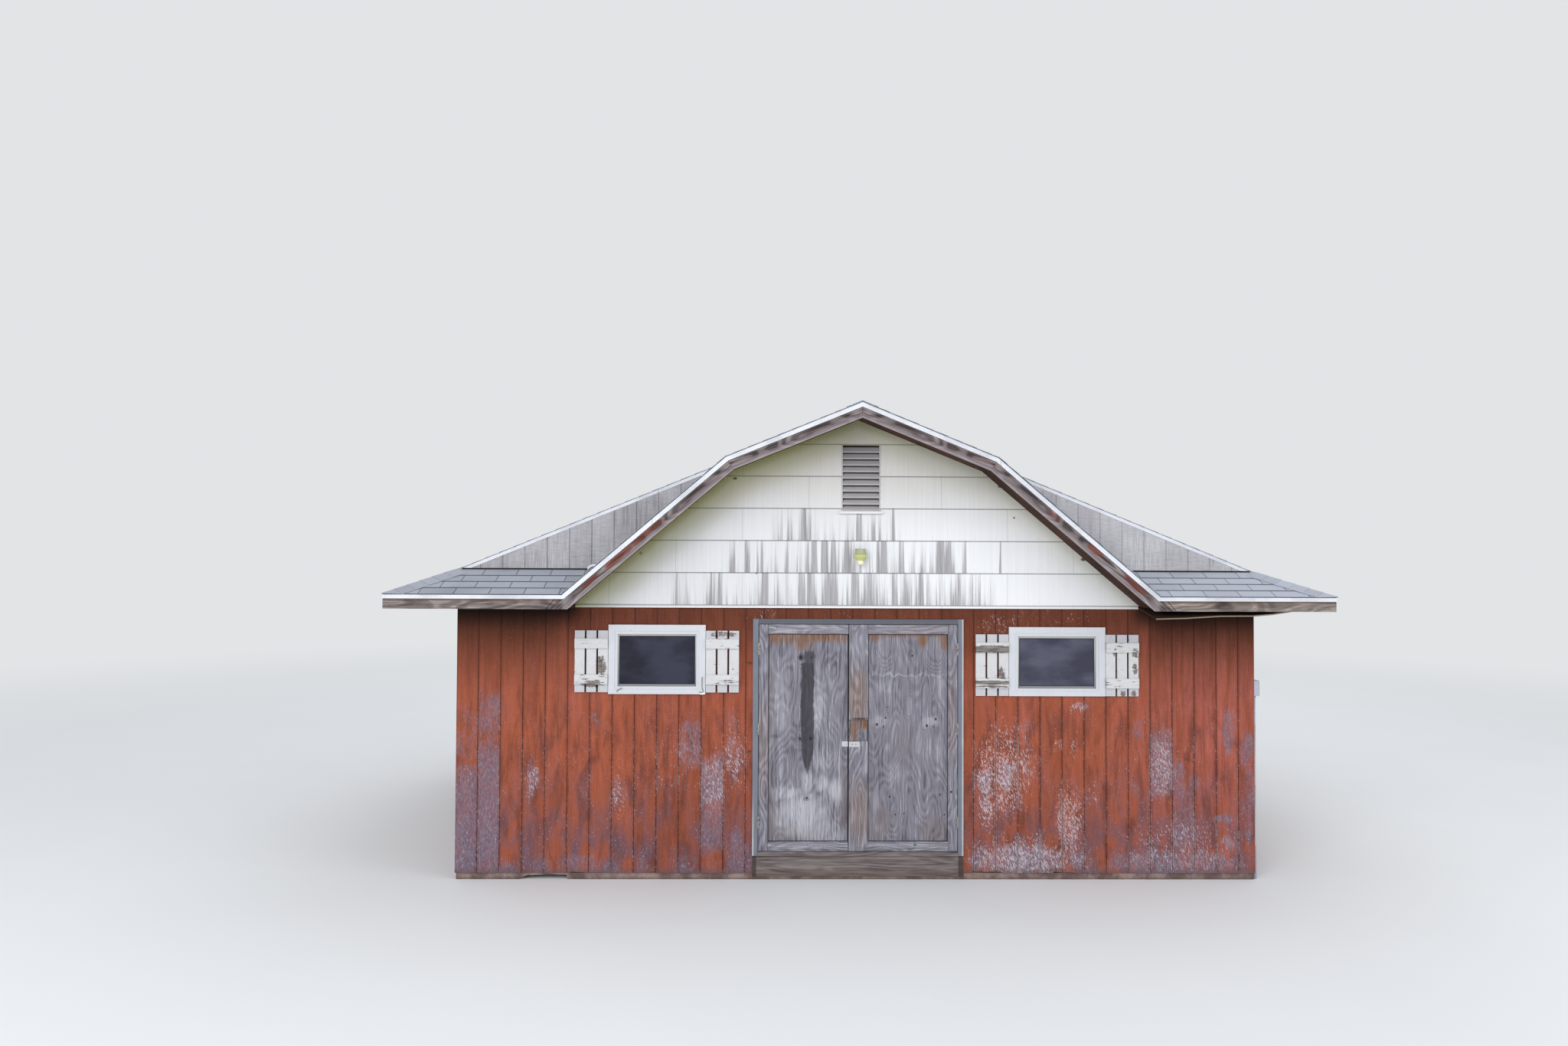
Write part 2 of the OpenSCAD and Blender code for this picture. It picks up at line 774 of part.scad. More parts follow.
// Flat soffit under the side eave, and under the front eave where front is true
module flat_soffit(front) {
    edge = hw + overhang - fascia_t;
    translate([0, 0, soffit_z]) linear_extrude(soffit_t)
        polygon(front
            ? [[-edge, y_eave + fascia_t], [-flat_soffit_x, y_eave + fascia_t],
                [-flat_soffit_x, y_front], [-hw, y_front], [-hw, y_rear], [-edge, y_rear]]
            : [[-edge, y_front], [-hw, y_front], [-hw, y_rear], [-edge, y_rear]]);
}

module soffit_left() { color("#7b6f66") flat_soffit(true); }

// The front soffit board on the right has come away from the fascia and sags
sag_x = [0, 0.21, 0.47, 0.71, 0.85, 1];
sag_share = [1, 0.9, 0.64, 0.6, 0.4, 0];
module soffit_slice(x, drop) {
    translate([x, 0, 0]) along_x(0, slice_t) polygon([
        [y_eave + fascia_t, soffit_z - drop], [y_eave + fascia_t, soffit_z - drop + soffit_t],
        [y_front, soffit_z + soffit_t], [y_front, soffit_z]
    ]);
}

module soffit_right() {
    x0 = flat_soffit_x;
    run = hw + overhang - sag_end - x0;
    color("#7b6f66") {
        mirror([1, 0, 0]) flat_soffit(false);
        block(x0 + run, hw + overhang - fascia_t, y_eave + fascia_t, y_front,
            soffit_z, soffit_z + soffit_t);
        for (i = [0 : len(sag_x) - 2])
            hull() {
                soffit_slice(x0 + run * sag_x[i], soffit_sag * sag_share[i]);
                soffit_slice(x0 + run * sag_x[i + 1], soffit_sag * sag_share[i + 1]);
            }
    }
}

// White metal drip edges: canopy, front and side eaves, and the flush rakes
module drip_edges() {
    edge = hw + overhang;
    rake_drip = 30 / cos(pitch);
    color("#f0f0f2") {
        along_y(y_eave - drip_t, y_eave) both_sides_2d()
            canopy_band(0, rake_drip_h, eave_z - drip_h);
        both_sides() {
            along_y(y_eave - drip_t, y_eave) polygon([
                [-edge - drip_t, eave_z], [-edge - drip_t, eave_z - drip_h],
                [-inner_low_x(0, eave_z - drip_h), eave_z - drip_h], [-foot_x, eave_z]
            ]);
            block(-edge - drip_t, -edge, y_eave - drip_t, y_rear + fascia_t, eave_z - drip_h, eave_z);
            along_y(y_front - drip_t, y_front) difference() {
                polygon([[-hw, roof_z(hw)], [-hw, roof_z(hw) - rake_drip],
                    [0, ridge_z - rake_drip], [0, ridge_z]]);
                under_canopy(0, eave_z - 1);
                translate([-hw - 1, roof_z(hw) - 2 * rake_drip]) square([hw, 2 * rake_drip]);
            }
            along_y(y_rear + fascia_t, y_rear + rear_proud) polygon([
                [-edge - drip_t, eave_z], [-edge - drip_t, eave_z - rake_drip],
                [0, ridge_z - rake_drip], [0, ridge_z]]);
        }
    }
}

// Door frame and door leaves

module door_frame() {
    color("#7f858c") along_y(y_front - frame_proud, y_in_front) difference() {
        translate([frame_left_x, floor_z])
            square([door_w + 2 * frame_w, door_top + head_h - floor_z]);
        translate([jamb_left, floor_z - 1]) square([door_w, door_top - floor_z + 1]);
    }
}

module leaf_panel(x0, wide) {
    color("#8b8a90") block(x0, x0 + wide, y_panel, y_panel + leaf_t, leaf_z, leaf_z + leaf_h);
}

module left_door_panel() { leaf_panel(jamb_left + leaf_gap, left_leaf_w); }

module right_door_panel() { leaf_panel(right_leaf_x, right_leaf_w); }

// A board on the face of a leaf, placed from the leaf's foot
module face_board(x0, x1, z0, z1) {
    block(x0, x1, y_boards, y_panel, leaf_z + z0, leaf_z + z1);
}

module left_door_boards() {
    x0 = jamb_left + leaf_gap;
    x1 = x0 + left_leaf_w;
    color("#96949a") {
        face_board(x0, x0 + trim_w, 0, leaf_h);
        face_board(x0 + trim_w, x1, 0, trim_w);
        face_board(x0 + trim_w, x1, leaf_h - trim_w, leaf_h);
    }
}

module right_door_boards() {
    x0 = right_leaf_x;
    x1 = x0 + right_leaf_w;
    color("#96949a") {
        face_board(x1 - trim_w, x1, 0, leaf_h);
        face_board(x0 + batten_w, x1 - trim_w, 0, trim_w);
        face_board(x0 + batten_w, x1 - trim_w, leaf_h - trim_w, leaf_h);
        face_board(x0, x0 + batten_w, 0, batten_gap_z);
        face_board(x0, x0 + batten_w, batten_gap_z + batten_gap_h, leaf_h);
    }
}

// Knuckles of one hinge: part 0 belongs to the leaf, part 1 to the jamb
module knuckles(part) {
    knuckle = hinge_h / 5;
    for (i = [part : 2 : 4])
        translate([0, 0, i * knuckle + 0.4])
            cylinder(r = knuckle_r, h = knuckle - 0.8, $fn = 24);
}

module door_hinges(x_pin, side) {
    color("#8a8178") for (z = hinge_z) translate([x_pin, y_hinge, leaf_z + z]) {
        knuckles(0);
        for (i = [0 : 2 : 4])
            translate([side > 0 ? 0 : -plate_w, knuckle_r + pin_gap - plate_t, i * hinge_h / 5 + 0.4])
                cube([plate_w, plate_t, hinge_h / 5 - 0.8]);
    }
}

module left_door_hinges() { door_hinges(jamb_left + leaf_gap / 2, 1); }

module right_door_hinges() { door_hinges(jamb_right - leaf_gap / 2, -1); }

module jamb_hinge_leaves() {
    color("#8a8178") for (side = [-1, 1]) {
        x_pin = side < 0 ? jamb_left + leaf_gap / 2 : jamb_right - leaf_gap / 2;
        for (z = hinge_z) translate([x_pin, y_hinge, leaf_z + z]) {
            knuckles(1);
            for (i = [1, 3])
                translate([side < 0 ? -jamb_plate_w : 0, knuckle_r + pin_gap - plate_t,
                    i * hinge_h / 5 + 0.4])
                    cube([jamb_plate_w, plate_t, hinge_h / 5 - 0.8]);
        }
    }
}

module hasp_plate() {
    color("#b9bcbd") block(seam_x - 62, seam_x - seam_gap / 2 - 2, y_panel - hasp_t, y_panel,
        hasp_z, hasp_z + hasp_h);
}

module hasp_strap() {
    color("#b9bcbd") difference() {
        block(right_leaf_x, right_leaf_x + hasp_w, y_boards - hasp_t, y_boards,
            hasp_z, hasp_z + hasp_h);
        for (share = [0.31, 0.65])
            translate([right_leaf_x + share * hasp_w, y_boards, hasp_z + hasp_h / 2])
                rotate([90, 0, 0]) cylinder(r = 6, h = 3 * hasp_t, center = true, $fn = 24);
    }
}

// Windows and shutters

module window_unit(x) {
    y0 = y_front - casing_t;
    step = 6;
    color("#e4e6ea") translate([x, 0, window_shift(x)]) {
        along_y(y0, y_front) difference() {
            translate([-casing_w / 2, casing_z]) square([casing_w, casing_h]);
            translate([-hole_w / 2, hole_z]) square([hole_w, hole_h]);
        }
        along_y(y0 + step, y_in_front) difference() {
            translate([-hole_w / 2, hole_z]) square([hole_w, hole_h]);
            translate([-hole_w / 2 + sash_face, hole_z + sash_face])
                square([hole_w - 2 * sash_face, hole_h - 2 * sash_face]);
        }
    }
}

module window_left() { window_unit(-window_x); }

module window_right() { window_unit(window_x); }

module screen(x) {
    color("#4a4d58") translate([x, 0, window_shift(x)])
        block(-hole_w / 2 + sash_face, hole_w / 2 - sash_face, y_front + screen_back,
            y_front + screen_back + screen_t, hole_z + sash_face, hole_z + hole_h - sash_face);
}

module screen_left() { screen(-window_x); }

module screen_right() { screen(window_x); }

// Three boards with gaps, held by two battens
module shutter(x0) {
    gap = (shutter_w - 3 * shutter_board) / 2;
    z0 = casing_z + window_shift(x0) + (casing_h - shutter_h) / 2 - shutter_low
        - (x0 > 0 ? shutter_slip : 0);
    color("#dcdcd8") {
        for (i = [0 : 2])
            translate([x0 + i * (shutter_board + gap), y_front - casing_t, z0])
                cube([shutter_board, casing_t, shutter_h]);
        for (z = [batten_off, shutter_h - batten_off - shutter_board])
            translate([x0, y_front - 2 * casing_t, z0 + z]) cube([shutter_w, casing_t, shutter_board]);
    }
}

module shutter_pair(x) {
    shutter(x - casing_w / 2 - shutter_gap - shutter_w);
    shutter(x + casing_w / 2 + shutter_gap);
}

module shutters_left() { shutter_pair(-window_x); }

module shutters_right() { shutter_pair(window_x); }

// Outlet box on the right wall, and the conduit that comes up to it
module outlet_and_conduit() {
    y0 = y_front + outlet_back;
    z0 = base_h + outlet_rise;
    color("#c9ccd0") {
        block(hw, hw + outlet_proud, y0, y0 + outlet_w, z0, z0 + outlet_h);
        translate([hw + conduit_r, y0 + outlet_w / 2, 0]) cylinder(r = conduit_r, h = z0, $fn = 24);
    }
}

foundation();
floor_joists();
floor_deck();
door_sill();
siding_front_left();
siding_front_right();
siding_over_door();
siding_left();
siding_right();
siding_rear();
front_gable_wall();
gable_panels();
gable_vent();
porch_light();
frame_front_left();
frame_front_right();
frame_over_door();
frame_left();
frame_right();
frame_rear();
gable_studs();
rafters_left();
rafters_right();
ridge_board();
roof_left();
roof_right();
skirt_left();
skirt_right();
canopy_roof();
canopy_fascia();
canopy_soffit();
eave_fascia_left();
eave_fascia_right();
rear_rake_boards();
soffit_left();
soffit_right();
drip_edges();
door_frame();
window_left();
window_right();
screen_left();
screen_right();
shutters_left();
shutters_right();
outlet_and_conduit();
left_door_panel();
left_door_boards();
right_door_panel();
right_door_boards();
left_door_hinges();
right_door_hinges();
jamb_hinge_leaves();
hasp_plate();
hasp_strap();
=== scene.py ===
"""Dresses the packed barn: finishes on its solids, shingles, nails and small fittings, and a plain stage.

Everything is in metres in the packed model's own frame: X to the right, Y to the rear, Z up from the ground.
"""

import math
from functools import reduce

import bmesh
import bpy
from bpy.props import FloatProperty, FloatVectorProperty, IntProperty, PointerProperty
from mathutils import Matrix, Vector


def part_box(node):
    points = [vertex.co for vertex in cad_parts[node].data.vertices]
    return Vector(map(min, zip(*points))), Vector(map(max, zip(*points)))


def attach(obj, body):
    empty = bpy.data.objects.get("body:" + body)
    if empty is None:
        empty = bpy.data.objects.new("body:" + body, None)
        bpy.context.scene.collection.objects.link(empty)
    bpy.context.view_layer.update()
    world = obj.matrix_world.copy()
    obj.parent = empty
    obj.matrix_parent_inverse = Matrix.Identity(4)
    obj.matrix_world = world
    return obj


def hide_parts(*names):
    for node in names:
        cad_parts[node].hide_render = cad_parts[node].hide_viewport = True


bl_info = {
    "name": "Weathered Barn Dresser",
    "version": (1, 0, 0),
    "blender": (4, 5, 0),
    "location": "3D View > Sidebar > Barn",
    "description": "Finishes, shingles, fittings and stage for a small painted frame barn",
    "category": "Object",
}

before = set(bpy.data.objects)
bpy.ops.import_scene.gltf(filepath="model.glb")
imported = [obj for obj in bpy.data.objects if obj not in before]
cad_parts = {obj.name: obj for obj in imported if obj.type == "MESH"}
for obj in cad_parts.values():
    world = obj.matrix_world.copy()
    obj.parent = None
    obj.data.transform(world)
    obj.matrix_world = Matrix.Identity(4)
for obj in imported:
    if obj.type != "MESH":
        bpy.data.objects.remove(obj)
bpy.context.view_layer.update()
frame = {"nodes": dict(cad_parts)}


# Places that the packed model gives

WALL_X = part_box("siding_rear")[1].x
WALL_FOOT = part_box("siding_rear")[0].z
WALL_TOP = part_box("siding_left")[1].z
FRONT_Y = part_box("front_gable_wall")[0].y
REAR_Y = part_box("siding_rear")[1].y
EDGE_X = -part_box("roof_left")[0].x
EAVE_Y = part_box("canopy_fascia")[0].y
RIDGE_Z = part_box("roof_left")[1].z
PITCH = math.radians(22.2)
EAVE_Z = RIDGE_Z - math.tan(PITCH) * EDGE_X
PANEL_Z = WALL_TOP + 0.004
ROOF_END_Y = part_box("roof_left")[1].y
BREAK_X = 1.194
FOOT_X = 2.618
LOW_SLOPE = (RIDGE_Z - math.tan(PITCH) * BREAK_X - EAVE_Z) / (FOOT_X - BREAK_X)
LOW_PITCH = math.atan(LOW_SLOPE)


# Sizes of the packed model that its boxes don't tell

GROOVE_PITCH = 0.2032
LEFT_GROOVE = -WALL_X - 0.006
RIGHT_GROOVE = 1.0686
SIDING = 0.015
GROOVED_EDGE = 0.1016
COURSE = 0.296
VENT_X = 0.028
DOOR_BOARD = 0.084
BATTEN_EDGE = 0.0975
FLASHING_X = 2.475


def paint(red, green, blue):
    """A colour as seen on a screen, from 0 to 255, turned into the linear values that the shader takes."""
    return tuple((c / 255 / 12.92 if c <= 10 else ((c / 255 + 0.055) / 1.055) ** 2.4
                  for c in (red, green, blue)))


def colour_prop(name, description, red, green, blue):
    """A colour setting with its default."""
    return FloatVectorProperty(name=name, description=description, default=paint(red, green, blue),
                               size=3, min=0, max=1, subtype="COLOR")


def length_prop(name, description, default, low=0.0, high=10.0):
    """A length setting in metres with its default."""
    return FloatProperty(name=name, description=description, default=default, min=low, max=high,
                         subtype="DISTANCE", unit="LENGTH", precision=4)


# Settings that a user would change


class SidingLooks(bpy.types.PropertyGroup):
    """Colours of the grooved siding, and the spacing of its grooves."""

    stain: colour_prop("Stain", "Red stain where it still covers", 151, 80, 57)
    # The deep stain is the red stain as it looks in painted shade under the eaves
    stain_in_eave_shade: colour_prop("Deep stain", "Red stain in the shelter of the eaves", 84, 46, 32)
    worn: colour_prop("Worn wood", "Bare grey wood where the stain is gone", 104, 93, 111)
    pale: colour_prop("Pale flecks", "Chalky flecks on the worn boards", 202, 192, 200)
    pitch: length_prop("Groove spacing", "Distance between the grooves", GROOVE_PITCH, 0.1, 0.4)


class GableLooks(bpy.types.PropertyGroup):
    """Colours of the gable's lap panels, and the height of a course."""

    white: colour_prop("White paint", "Paint that still covers the panels", 224, 225, 228)
    bare: colour_prop("Bare streaks", "Grey board where the paint has peeled", 154, 152, 155)
    # Green algae under the soffit, laid on more to the left as painted shade
    algae_and_shade: colour_prop("Algae", "Green tint close under the soffit", 178, 177, 124)
    plywood: colour_prop("Plywood", "Bare plywood of the main gable", 168, 166, 170)
    course: length_prop("Course height", "Height of one course of panels", COURSE, 0.2, 0.4)
    sheet: length_prop("Panel length", "Length of one panel", 1.219, 0.6, 2.5)


class DoorLooks(bpy.types.PropertyGroup):
    """Colours of the bare door leaves and of their painted frame."""

    grey: colour_prop("Grey wood", "Weathered plywood of the leaves", 124, 122, 132)
    dark: colour_prop("Dark grain", "Dark lines of the grain", 76, 73, 80)
    light: colour_prop("Light grain", "Light lines of the grain", 172, 171, 180)
    rust: colour_prop("Rust stain", "Stain that runs from under the top rails", 148, 94, 50)
    frame: colour_prop("Frame paint", "Paint on the door frame", 116, 121, 132)


class RoofLooks(bpy.types.PropertyGroup):
    """Sizes and colour of the shingles and of their caps."""

    grit: colour_prop("Grit", "Mineral grit on the shingles", 157, 161, 171)
    exposure: length_prop("Exposure", "Height of a course that shows", 0.13716, 0.1, 0.2)
    tab: length_prop("Tab width", "Width of one shingle tab", 0.3048, 0.2, 0.5)
    slot: length_prop("Slot", "Width of the slot between two tabs", 0.004, 0.002, 0.015)
    thickness: length_prop("Thickness", "Thickness of a tab", 0.0035, 0.002, 0.008)
    cap_wing: length_prop("Cap wing", "How far a cap reaches down each side", 0.140, 0.1, 0.2)
    seed: IntProperty(name="Seed", description="Seed of the shingles' small differences", default=7, min=0)


class NailLooks(bpy.types.PropertyGroup):
    """Sizes of the nail heads."""

    radius: length_prop("Head radius", "Radius of a nail head", 0.0042, 0.002, 0.008)
    rise: length_prop("Head rise", "How far a head stands out", 0.0012, 0.0005, 0.003)
    pitch: length_prop("Nail spacing", "Distance between nails in a row", 0.305, 0.1, 0.6)


class StageLooks(bpy.types.PropertyGroup):
    """The camera's place and the strength of the studio light."""

    lens: FloatProperty(name="Lens", description="Focal length on a 36 mm sensor", default=25.45, min=10,
                        max=200, subtype="DISTANCE_CAMERA")
    camera: FloatVectorProperty(name="Camera", description="Place of the camera",
                                default=(-0.814, -12.985, 3.013), size=3, subtype="TRANSLATION", unit="LENGTH")
    look_up: FloatProperty(name="Look up", description="Upward tilt of the camera", default=math.radians(1.348),
                           subtype="ANGLE", unit="ROTATION")
    look_right: FloatProperty(name="Look right", description="Turn of the camera to the right",
                              default=math.radians(0.762), subtype="ANGLE", unit="ROTATION")
    roll: FloatProperty(name="Roll", description="Roll of the camera, anticlockwise",
                        default=math.radians(0.251), subtype="ANGLE", unit="ROTATION")
    sky: FloatProperty(name="Sky", description="Strength of the even light from all round", default=0.8, min=0,
                       max=5)
    key: FloatProperty(name="Key", description="Power of the large soft lamp in watts", default=1040, min=0,
                       max=20000)
    backdrop: colour_prop("Backdrop", "Colour of the floor and the background", 226, 228, 230)


# Stains and marks by place: (across, up, half width, half height, strength), and without the strength for arcs.
# Knots are (across, up, radius), and the peeled streaks count courses of panels instead of heights

PEELED_STREAKS = [
    (-1.66, 0, 0.014, 0.4, 0.24), (-1.33, 0, 0.03, 0.4, 0.2), (-1.26, 0, 0.024, 0.4, 0.18),
    (-0.85, 0, 0.03, 0.4, 0.24), (-0.51, 0, 0.03, 0.4, 0.32), (-0.43, 0, 0.034, 0.4, 0.3),
    (-0.23, 0, 0.05, 0.4, 0.32), (-0.02, 0, 0.04, 0.4, 0.28), (0.1, 0, 0.05, 0.4, 0.3),
    (0.34, 0, 0.03, 0.4, 0.22), (0.58, 0, 0.025, 0.4, 0.2), (0.92, 0, 0.03, 0.4, 0.2),
    (1.12, 0, 0.014, 0.4, 0.22), (-1.15, 1, 0.03, 0.4, 0.24), (-1.01, 1, 0.03, 0.4, 0.24),
    (-0.88, 1, 0.012, 0.4, 0.24), (-0.4, 1, 0.034, 0.4, 0.22), (-0.31, 1, 0.03, 0.4, 0.24),
    (-0.22, 1, 0.026, 0.4, 0.26), (-0.09, 1, 0.04, 0.4, 0.24), (0.22, 1, 0.045, 0.4, 0.4),
    (0.4, 1, 0.03, 0.4, 0.2), (0.79, 1, 0.07, 0.4, 0.34), (0.98, 1, 0.02, 0.4, 0.2),
    (1.31, 1, 0.012, 0.4, 0.24), (-0.7, 2, 0.012, 0.4, 0.2), (-0.5, 2, 0.024, 0.4, 0.36),
    (-0.44, 2, 0.014, 0.4, 0.32), (0.01, 2, 0.026, 0.4, 0.34), (0.33, 2, 0.014, 0.4, 0.28)
]
PANEL_MUD = [
    (-1.13, 3.66, 0.02, 0.011, 1.2), (1.31, 3.6, 0.022, 0.016, 1), (2.08, 2.93, 0.026, 0.016, 1.2),
    (1.44, 3.31, 0.01, 0.01, 1), (-1.99, 2.97, 0.016, 0.014, 0.6), (-0.93, 2.79, 0.01, 0.01, 0.8)
]
GABLE_DIRT = [
    (1.72, 3.45, 0.12, 0.14, 0.9), (2.0, 3.2, 0.3, 0.2, 0.5), (2.25, 2.9, 0.16, 0.2, 0.7),
    (2.9, 2.95, 0.2, 0.12, 0.4), (3.27, 2.93, 0.04, 0.06, 0.8), (2.05, 3.05, 0.08, 0.14, 0.9),
    (-1.95, 3.3, 0.35, 0.24, 0.75), (-1.5, 3.55, 0.2, 0.15, 0.7)
]
GABLE_PALE = [
    (2.65, 3.0, 0.22, 0.2, 1), (-2.9, 2.95, 0.3, 0.15, 0.8)
]
RAKE_RED = [
    (2.06, 3.04, 0.1, 0.1, 0.62), (2.42, 2.72, 0.14, 0.13, 0.55), (1.75, 3.34, 0.12, 0.1, 0.3),
    (-1.92, 3.18, 0.2, 0.18, 0.62), (-2.12, 2.95, 0.16, 0.15, 0.62), (-2.4, 2.74, 0.12, 0.1, 0.4),
    (1.0, 3.86, 0.4, 0.15, 0.25)
]
EAVE_RED = [
    (3.9, 2.5, 0.3, 0.12, 0.28), (2.66, 2.52, 0.08, 0.06, 0.4)
]
EAVE_ROT = [
    (3.17, 2.53, 0.1, 0.05, 0.9), (-2.75, 2.5, 0.16, 0.03, 0.6), (-3.3, 2.53, 0.3, 0.03, 0.35),
    (3.6, 2.54, 0.15, 0.03, 0.5)
]
FRONT_LEFT_BOARD_SPOTS = [
    (-3.353, 0.62, 0.1, 0.82, 1.0), (-3.353, 1.48, 0.1, 0.26, 0.72), (-3.556, 0.5, 0.1, 0.6, 0.92),
    (-3.556, 1.3, 0.1, 0.28, 0.55), (-1.32, 0.9, 0.1, 0.26, 1.0), (-1.32, 0.45, 0.1, 0.34, 0.66),
    (-1.53, 1.22, 0.1, 0.26, 0.66)
]
FRONT_LEFT_FREE_SPOTS = [
    (-2.96, 0.95, 0.07, 0.24, 0.62), (-1.13, 1.16, 0.09, 0.38, 0.55), (-2.5, 0.14, 0.25, 0.12, 0.8),
    (-3.2, 0.12, 0.4, 0.1, 0.72), (-1.1, 0.25, 0.14, 0.24, 0.72), (-2.45, 0.84, 0.1, 0.14, 0.42),
    (-2.18, 0.78, 0.06, 0.3, 0.44), (-2.4, 1.44, 0.06, 0.1, 0.5)
]
FRONT_LEFT_CHALK_SPOTS = [
    (-1.3, 0.9, 0.14, 0.3, 0.7), (-2.96, 0.95, 0.08, 0.24, 0.7), (-2.18, 0.8, 0.08, 0.36, 0.6),
    (-1.12, 1.15, 0.12, 0.4, 0.7), (-1.7, 1.05, 0.5, 0.4, 0.3), (-2.5, 2.3, 0.5, 0.12, 0.2)
]
FRONT_RIGHT_BOARD_SPOTS = [
    (2.81, 1.05, 0.1, 0.36, 0.8), (3.01, 0.52, 0.1, 0.5, 0.66)
]
FRONT_RIGHT_FREE_SPOTS = [
    (1.18, 0.85, 0.08, 0.2, 0.85), (1.365, 0.98, 0.09, 0.22, 0.95), (1.56, 1.14, 0.07, 0.4, 0.62),
    (1.94, 0.5, 0.11, 0.32, 0.72), (2.05, 1.58, 0.1, 0.05, 0.6), (3.36, 0.56, 0.13, 0.04, 0.95),
    (3.4, 0.33, 0.1, 0.12, 0.85), (3.6, 0.66, 0.06, 0.55, 0.6), (3.41, 1.34, 0.08, 0.26, 0.74),
    (3.59, 1.2, 0.07, 0.18, 0.8), (2.97, 0.98, 0.08, 0.12, 0.72), (2.58, 1.38, 0.06, 0.14, 0.66),
    (3.1, 0.9, 0.07, 0.12, 0.74), (2.9, 0.14, 0.85, 0.15, 0.85), (1.55, 0.17, 0.62, 0.16, 1.0),
    (2.55, 0.78, 0.06, 0.16, 0.55)
]
FRONT_RIGHT_CHALK_SPOTS = [
    (1.35, 1.0, 0.3, 0.5, 1.15), (1.2, 0.8, 0.1, 0.45, 1.2), (1.94, 0.55, 0.14, 0.34, 1.2),
    (1.83, 1.21, 0.05, 0.1, 1.0), (1.99, 1.22, 0.05, 0.12, 0.8), (2.81, 1.05, 0.12, 0.36, 0.8),
    (1.55, 0.22, 0.62, 0.22, 1.0), (3.0, 0.3, 0.6, 0.3, 0.6), (1.7, 2.38, 0.6, 0.1, 0.5),
    (2.16, 0.78, 0.07, 0.14, 0.6), (1.3, 2.33, 0.2, 0.11, 0.9), (3.02, 1.2, 0.1, 0.16, 0.6),
    (2.02, 1.57, 0.1, 0.05, 1.0)
]
OVER_DOOR_CHALK_SPOTS = [
    (-0.85, 2.4, 0.14, 0.1, 0.8), (0.1, 2.4, 0.6, 0.05, 0.4)
]
LEFT_LEAF_KNOTS = [
    (-0.52, 2.02, 0.014), (-0.42, 2.02, 0.006), (-0.525, 1.28, 0.011), (-0.425, 1.28, 0.011),
    (-0.46, 0.74, 0.007)
]
LEFT_LEAF_DARK_SPOTS = [
    (-0.51, 2.02, 0.035, 0.035, 0.9), (-0.4, 2.03, 0.022, 0.024, 0.8), (-0.48, 1.28, 0.1, 0.03, 0.35),
    (-0.38, 1.16, 0.03, 0.16, 0.3), (-0.75, 1.3, 0.05, 0.02, 0.5), (-0.46, 0.73, 0.03, 0.02, 0.6)
]
LEFT_LEAF_PALE_SPOTS = [
    (-0.32, 1.11, 0.12, 0.12, 1.0), (-0.32, 0.87, 0.07, 0.08, 1.0), (-0.2, 0.8, 0.07, 0.12, 1.0),
    (-0.66, 0.78, 0.14, 0.06, 0.8), (-0.45, 0.9, 0.06, 0.1, 0.9), (-0.5, 0.57, 0.26, 0.2, 0.9),
    (-0.28, 0.42, 0.2, 0.16, 0.8), (-0.36, 1.6, 0.06, 0.3, 0.5), (-0.68, 1.62, 0.1, 0.3, 0.4)
]
LEFT_LEAF_RUST_SPOTS = [
    (-0.66, 2.23, 0.24, 0.095, 1.0), (-0.52, 2.22, 0.08, 0.13, 1.0), (-0.16, 2.23, 0.1, 0.085, 0.9),
    (-0.36, 2.23, 0.36, 0.07, 1.0), (-0.44, 2.21, 0.04, 0.12, 1.0)
]
LEFT_LEAF_BROWN_SPOTS = [
    (-0.78, 0.66, 0.05, 0.3, 0.9), (-0.12, 0.7, 0.05, 0.3, 0.8), (-0.6, 0.42, 0.3, 0.1, 0.7),
    (-0.78, 1.3, 0.04, 0.8, 0.5)
]
RIGHT_LEAF_KNOTS = [
    (0.18, 1.41, 0.01), (0.26, 1.47, 0.008), (0.24, 1.39, 0.006), (0.64, 1.4, 0.01), (0.72, 1.46, 0.009),
    (0.7, 1.39, 0.005), (0.505, 2.04, 0.008), (0.3, 0.75, 0.007), (0.35, 0.59, 0.006), (0.43, 0.6, 0.005),
    (0.76, 0.77, 0.006), (0.8, 0.59, 0.006)
]
RIGHT_LEAF_DARK_SPOTS = [
    (-0.068, 1.37, 0.006, 0.16, 1.0), (0.04, 1.29, 0.02, 0.05, 0.5), (0.5, 2.1, 0.06, 0.09, 0.3)
]
RIGHT_LEAF_PALE_SPOTS = [
    (0.22, 1.44, 0.09, 0.05, 0.55), (0.68, 1.43, 0.09, 0.05, 0.55), (0.46, 1.864, 0.38, 0.011, 0.62),
    (0.27, 1.76, 0.1, 0.06, 0.5), (0.34, 0.95, 0.06, 0.12, 0.5)
]
RIGHT_LEAF_RUST_SPOTS = [
    (0.6, 2.21, 0.05, 0.1, 1.0), (0.8, 2.2, 0.06, 0.11, 1.0), (0.16, 2.23, 0.1, 0.06, 0.8),
    (0.5, 2.235, 0.4, 0.03, 0.8), (0.02, 1.41, 0.08, 0.05, 1.3), (-0.03, 1.35, 0.03, 0.12, 0.9)
]
RIGHT_LEAF_BROWN_SPOTS = [
    (0.2, 0.5, 0.12, 0.2, 0.9), (0.7, 0.45, 0.14, 0.14, 0.8), (0.44, 1.2, 0.12, 0.25, 0.4),
    (0.12, 0.9, 0.04, 0.4, 0.6)
]
RIGHT_LEAF_ARCS = [
    (0.26, 2.2, 0.12, 0.3), (0.72, 2.14, 0.14, 0.26), (0.28, 1.66, 0.06, 0.16), (0.48, 1.58, 0.05, 0.16)
]
LEFT_BOARDS_PALE_SPOTS = [
    (-0.45, 0.31, 0.35, 0.025, 0.6), (-0.5, 2.28, 0.4, 0.05, 0.35)
]
RIGHT_BOARDS_BROWN_SPOTS = [
    (0.55, 2.29, 0.35, 0.05, 0.3), (0.01, 1.66, 0.1, 0.28, 1.0), (0.02, 0.62, 0.1, 0.3, 0.75),
    (0.87, 1.5, 0.03, 0.5, 0.6)
]
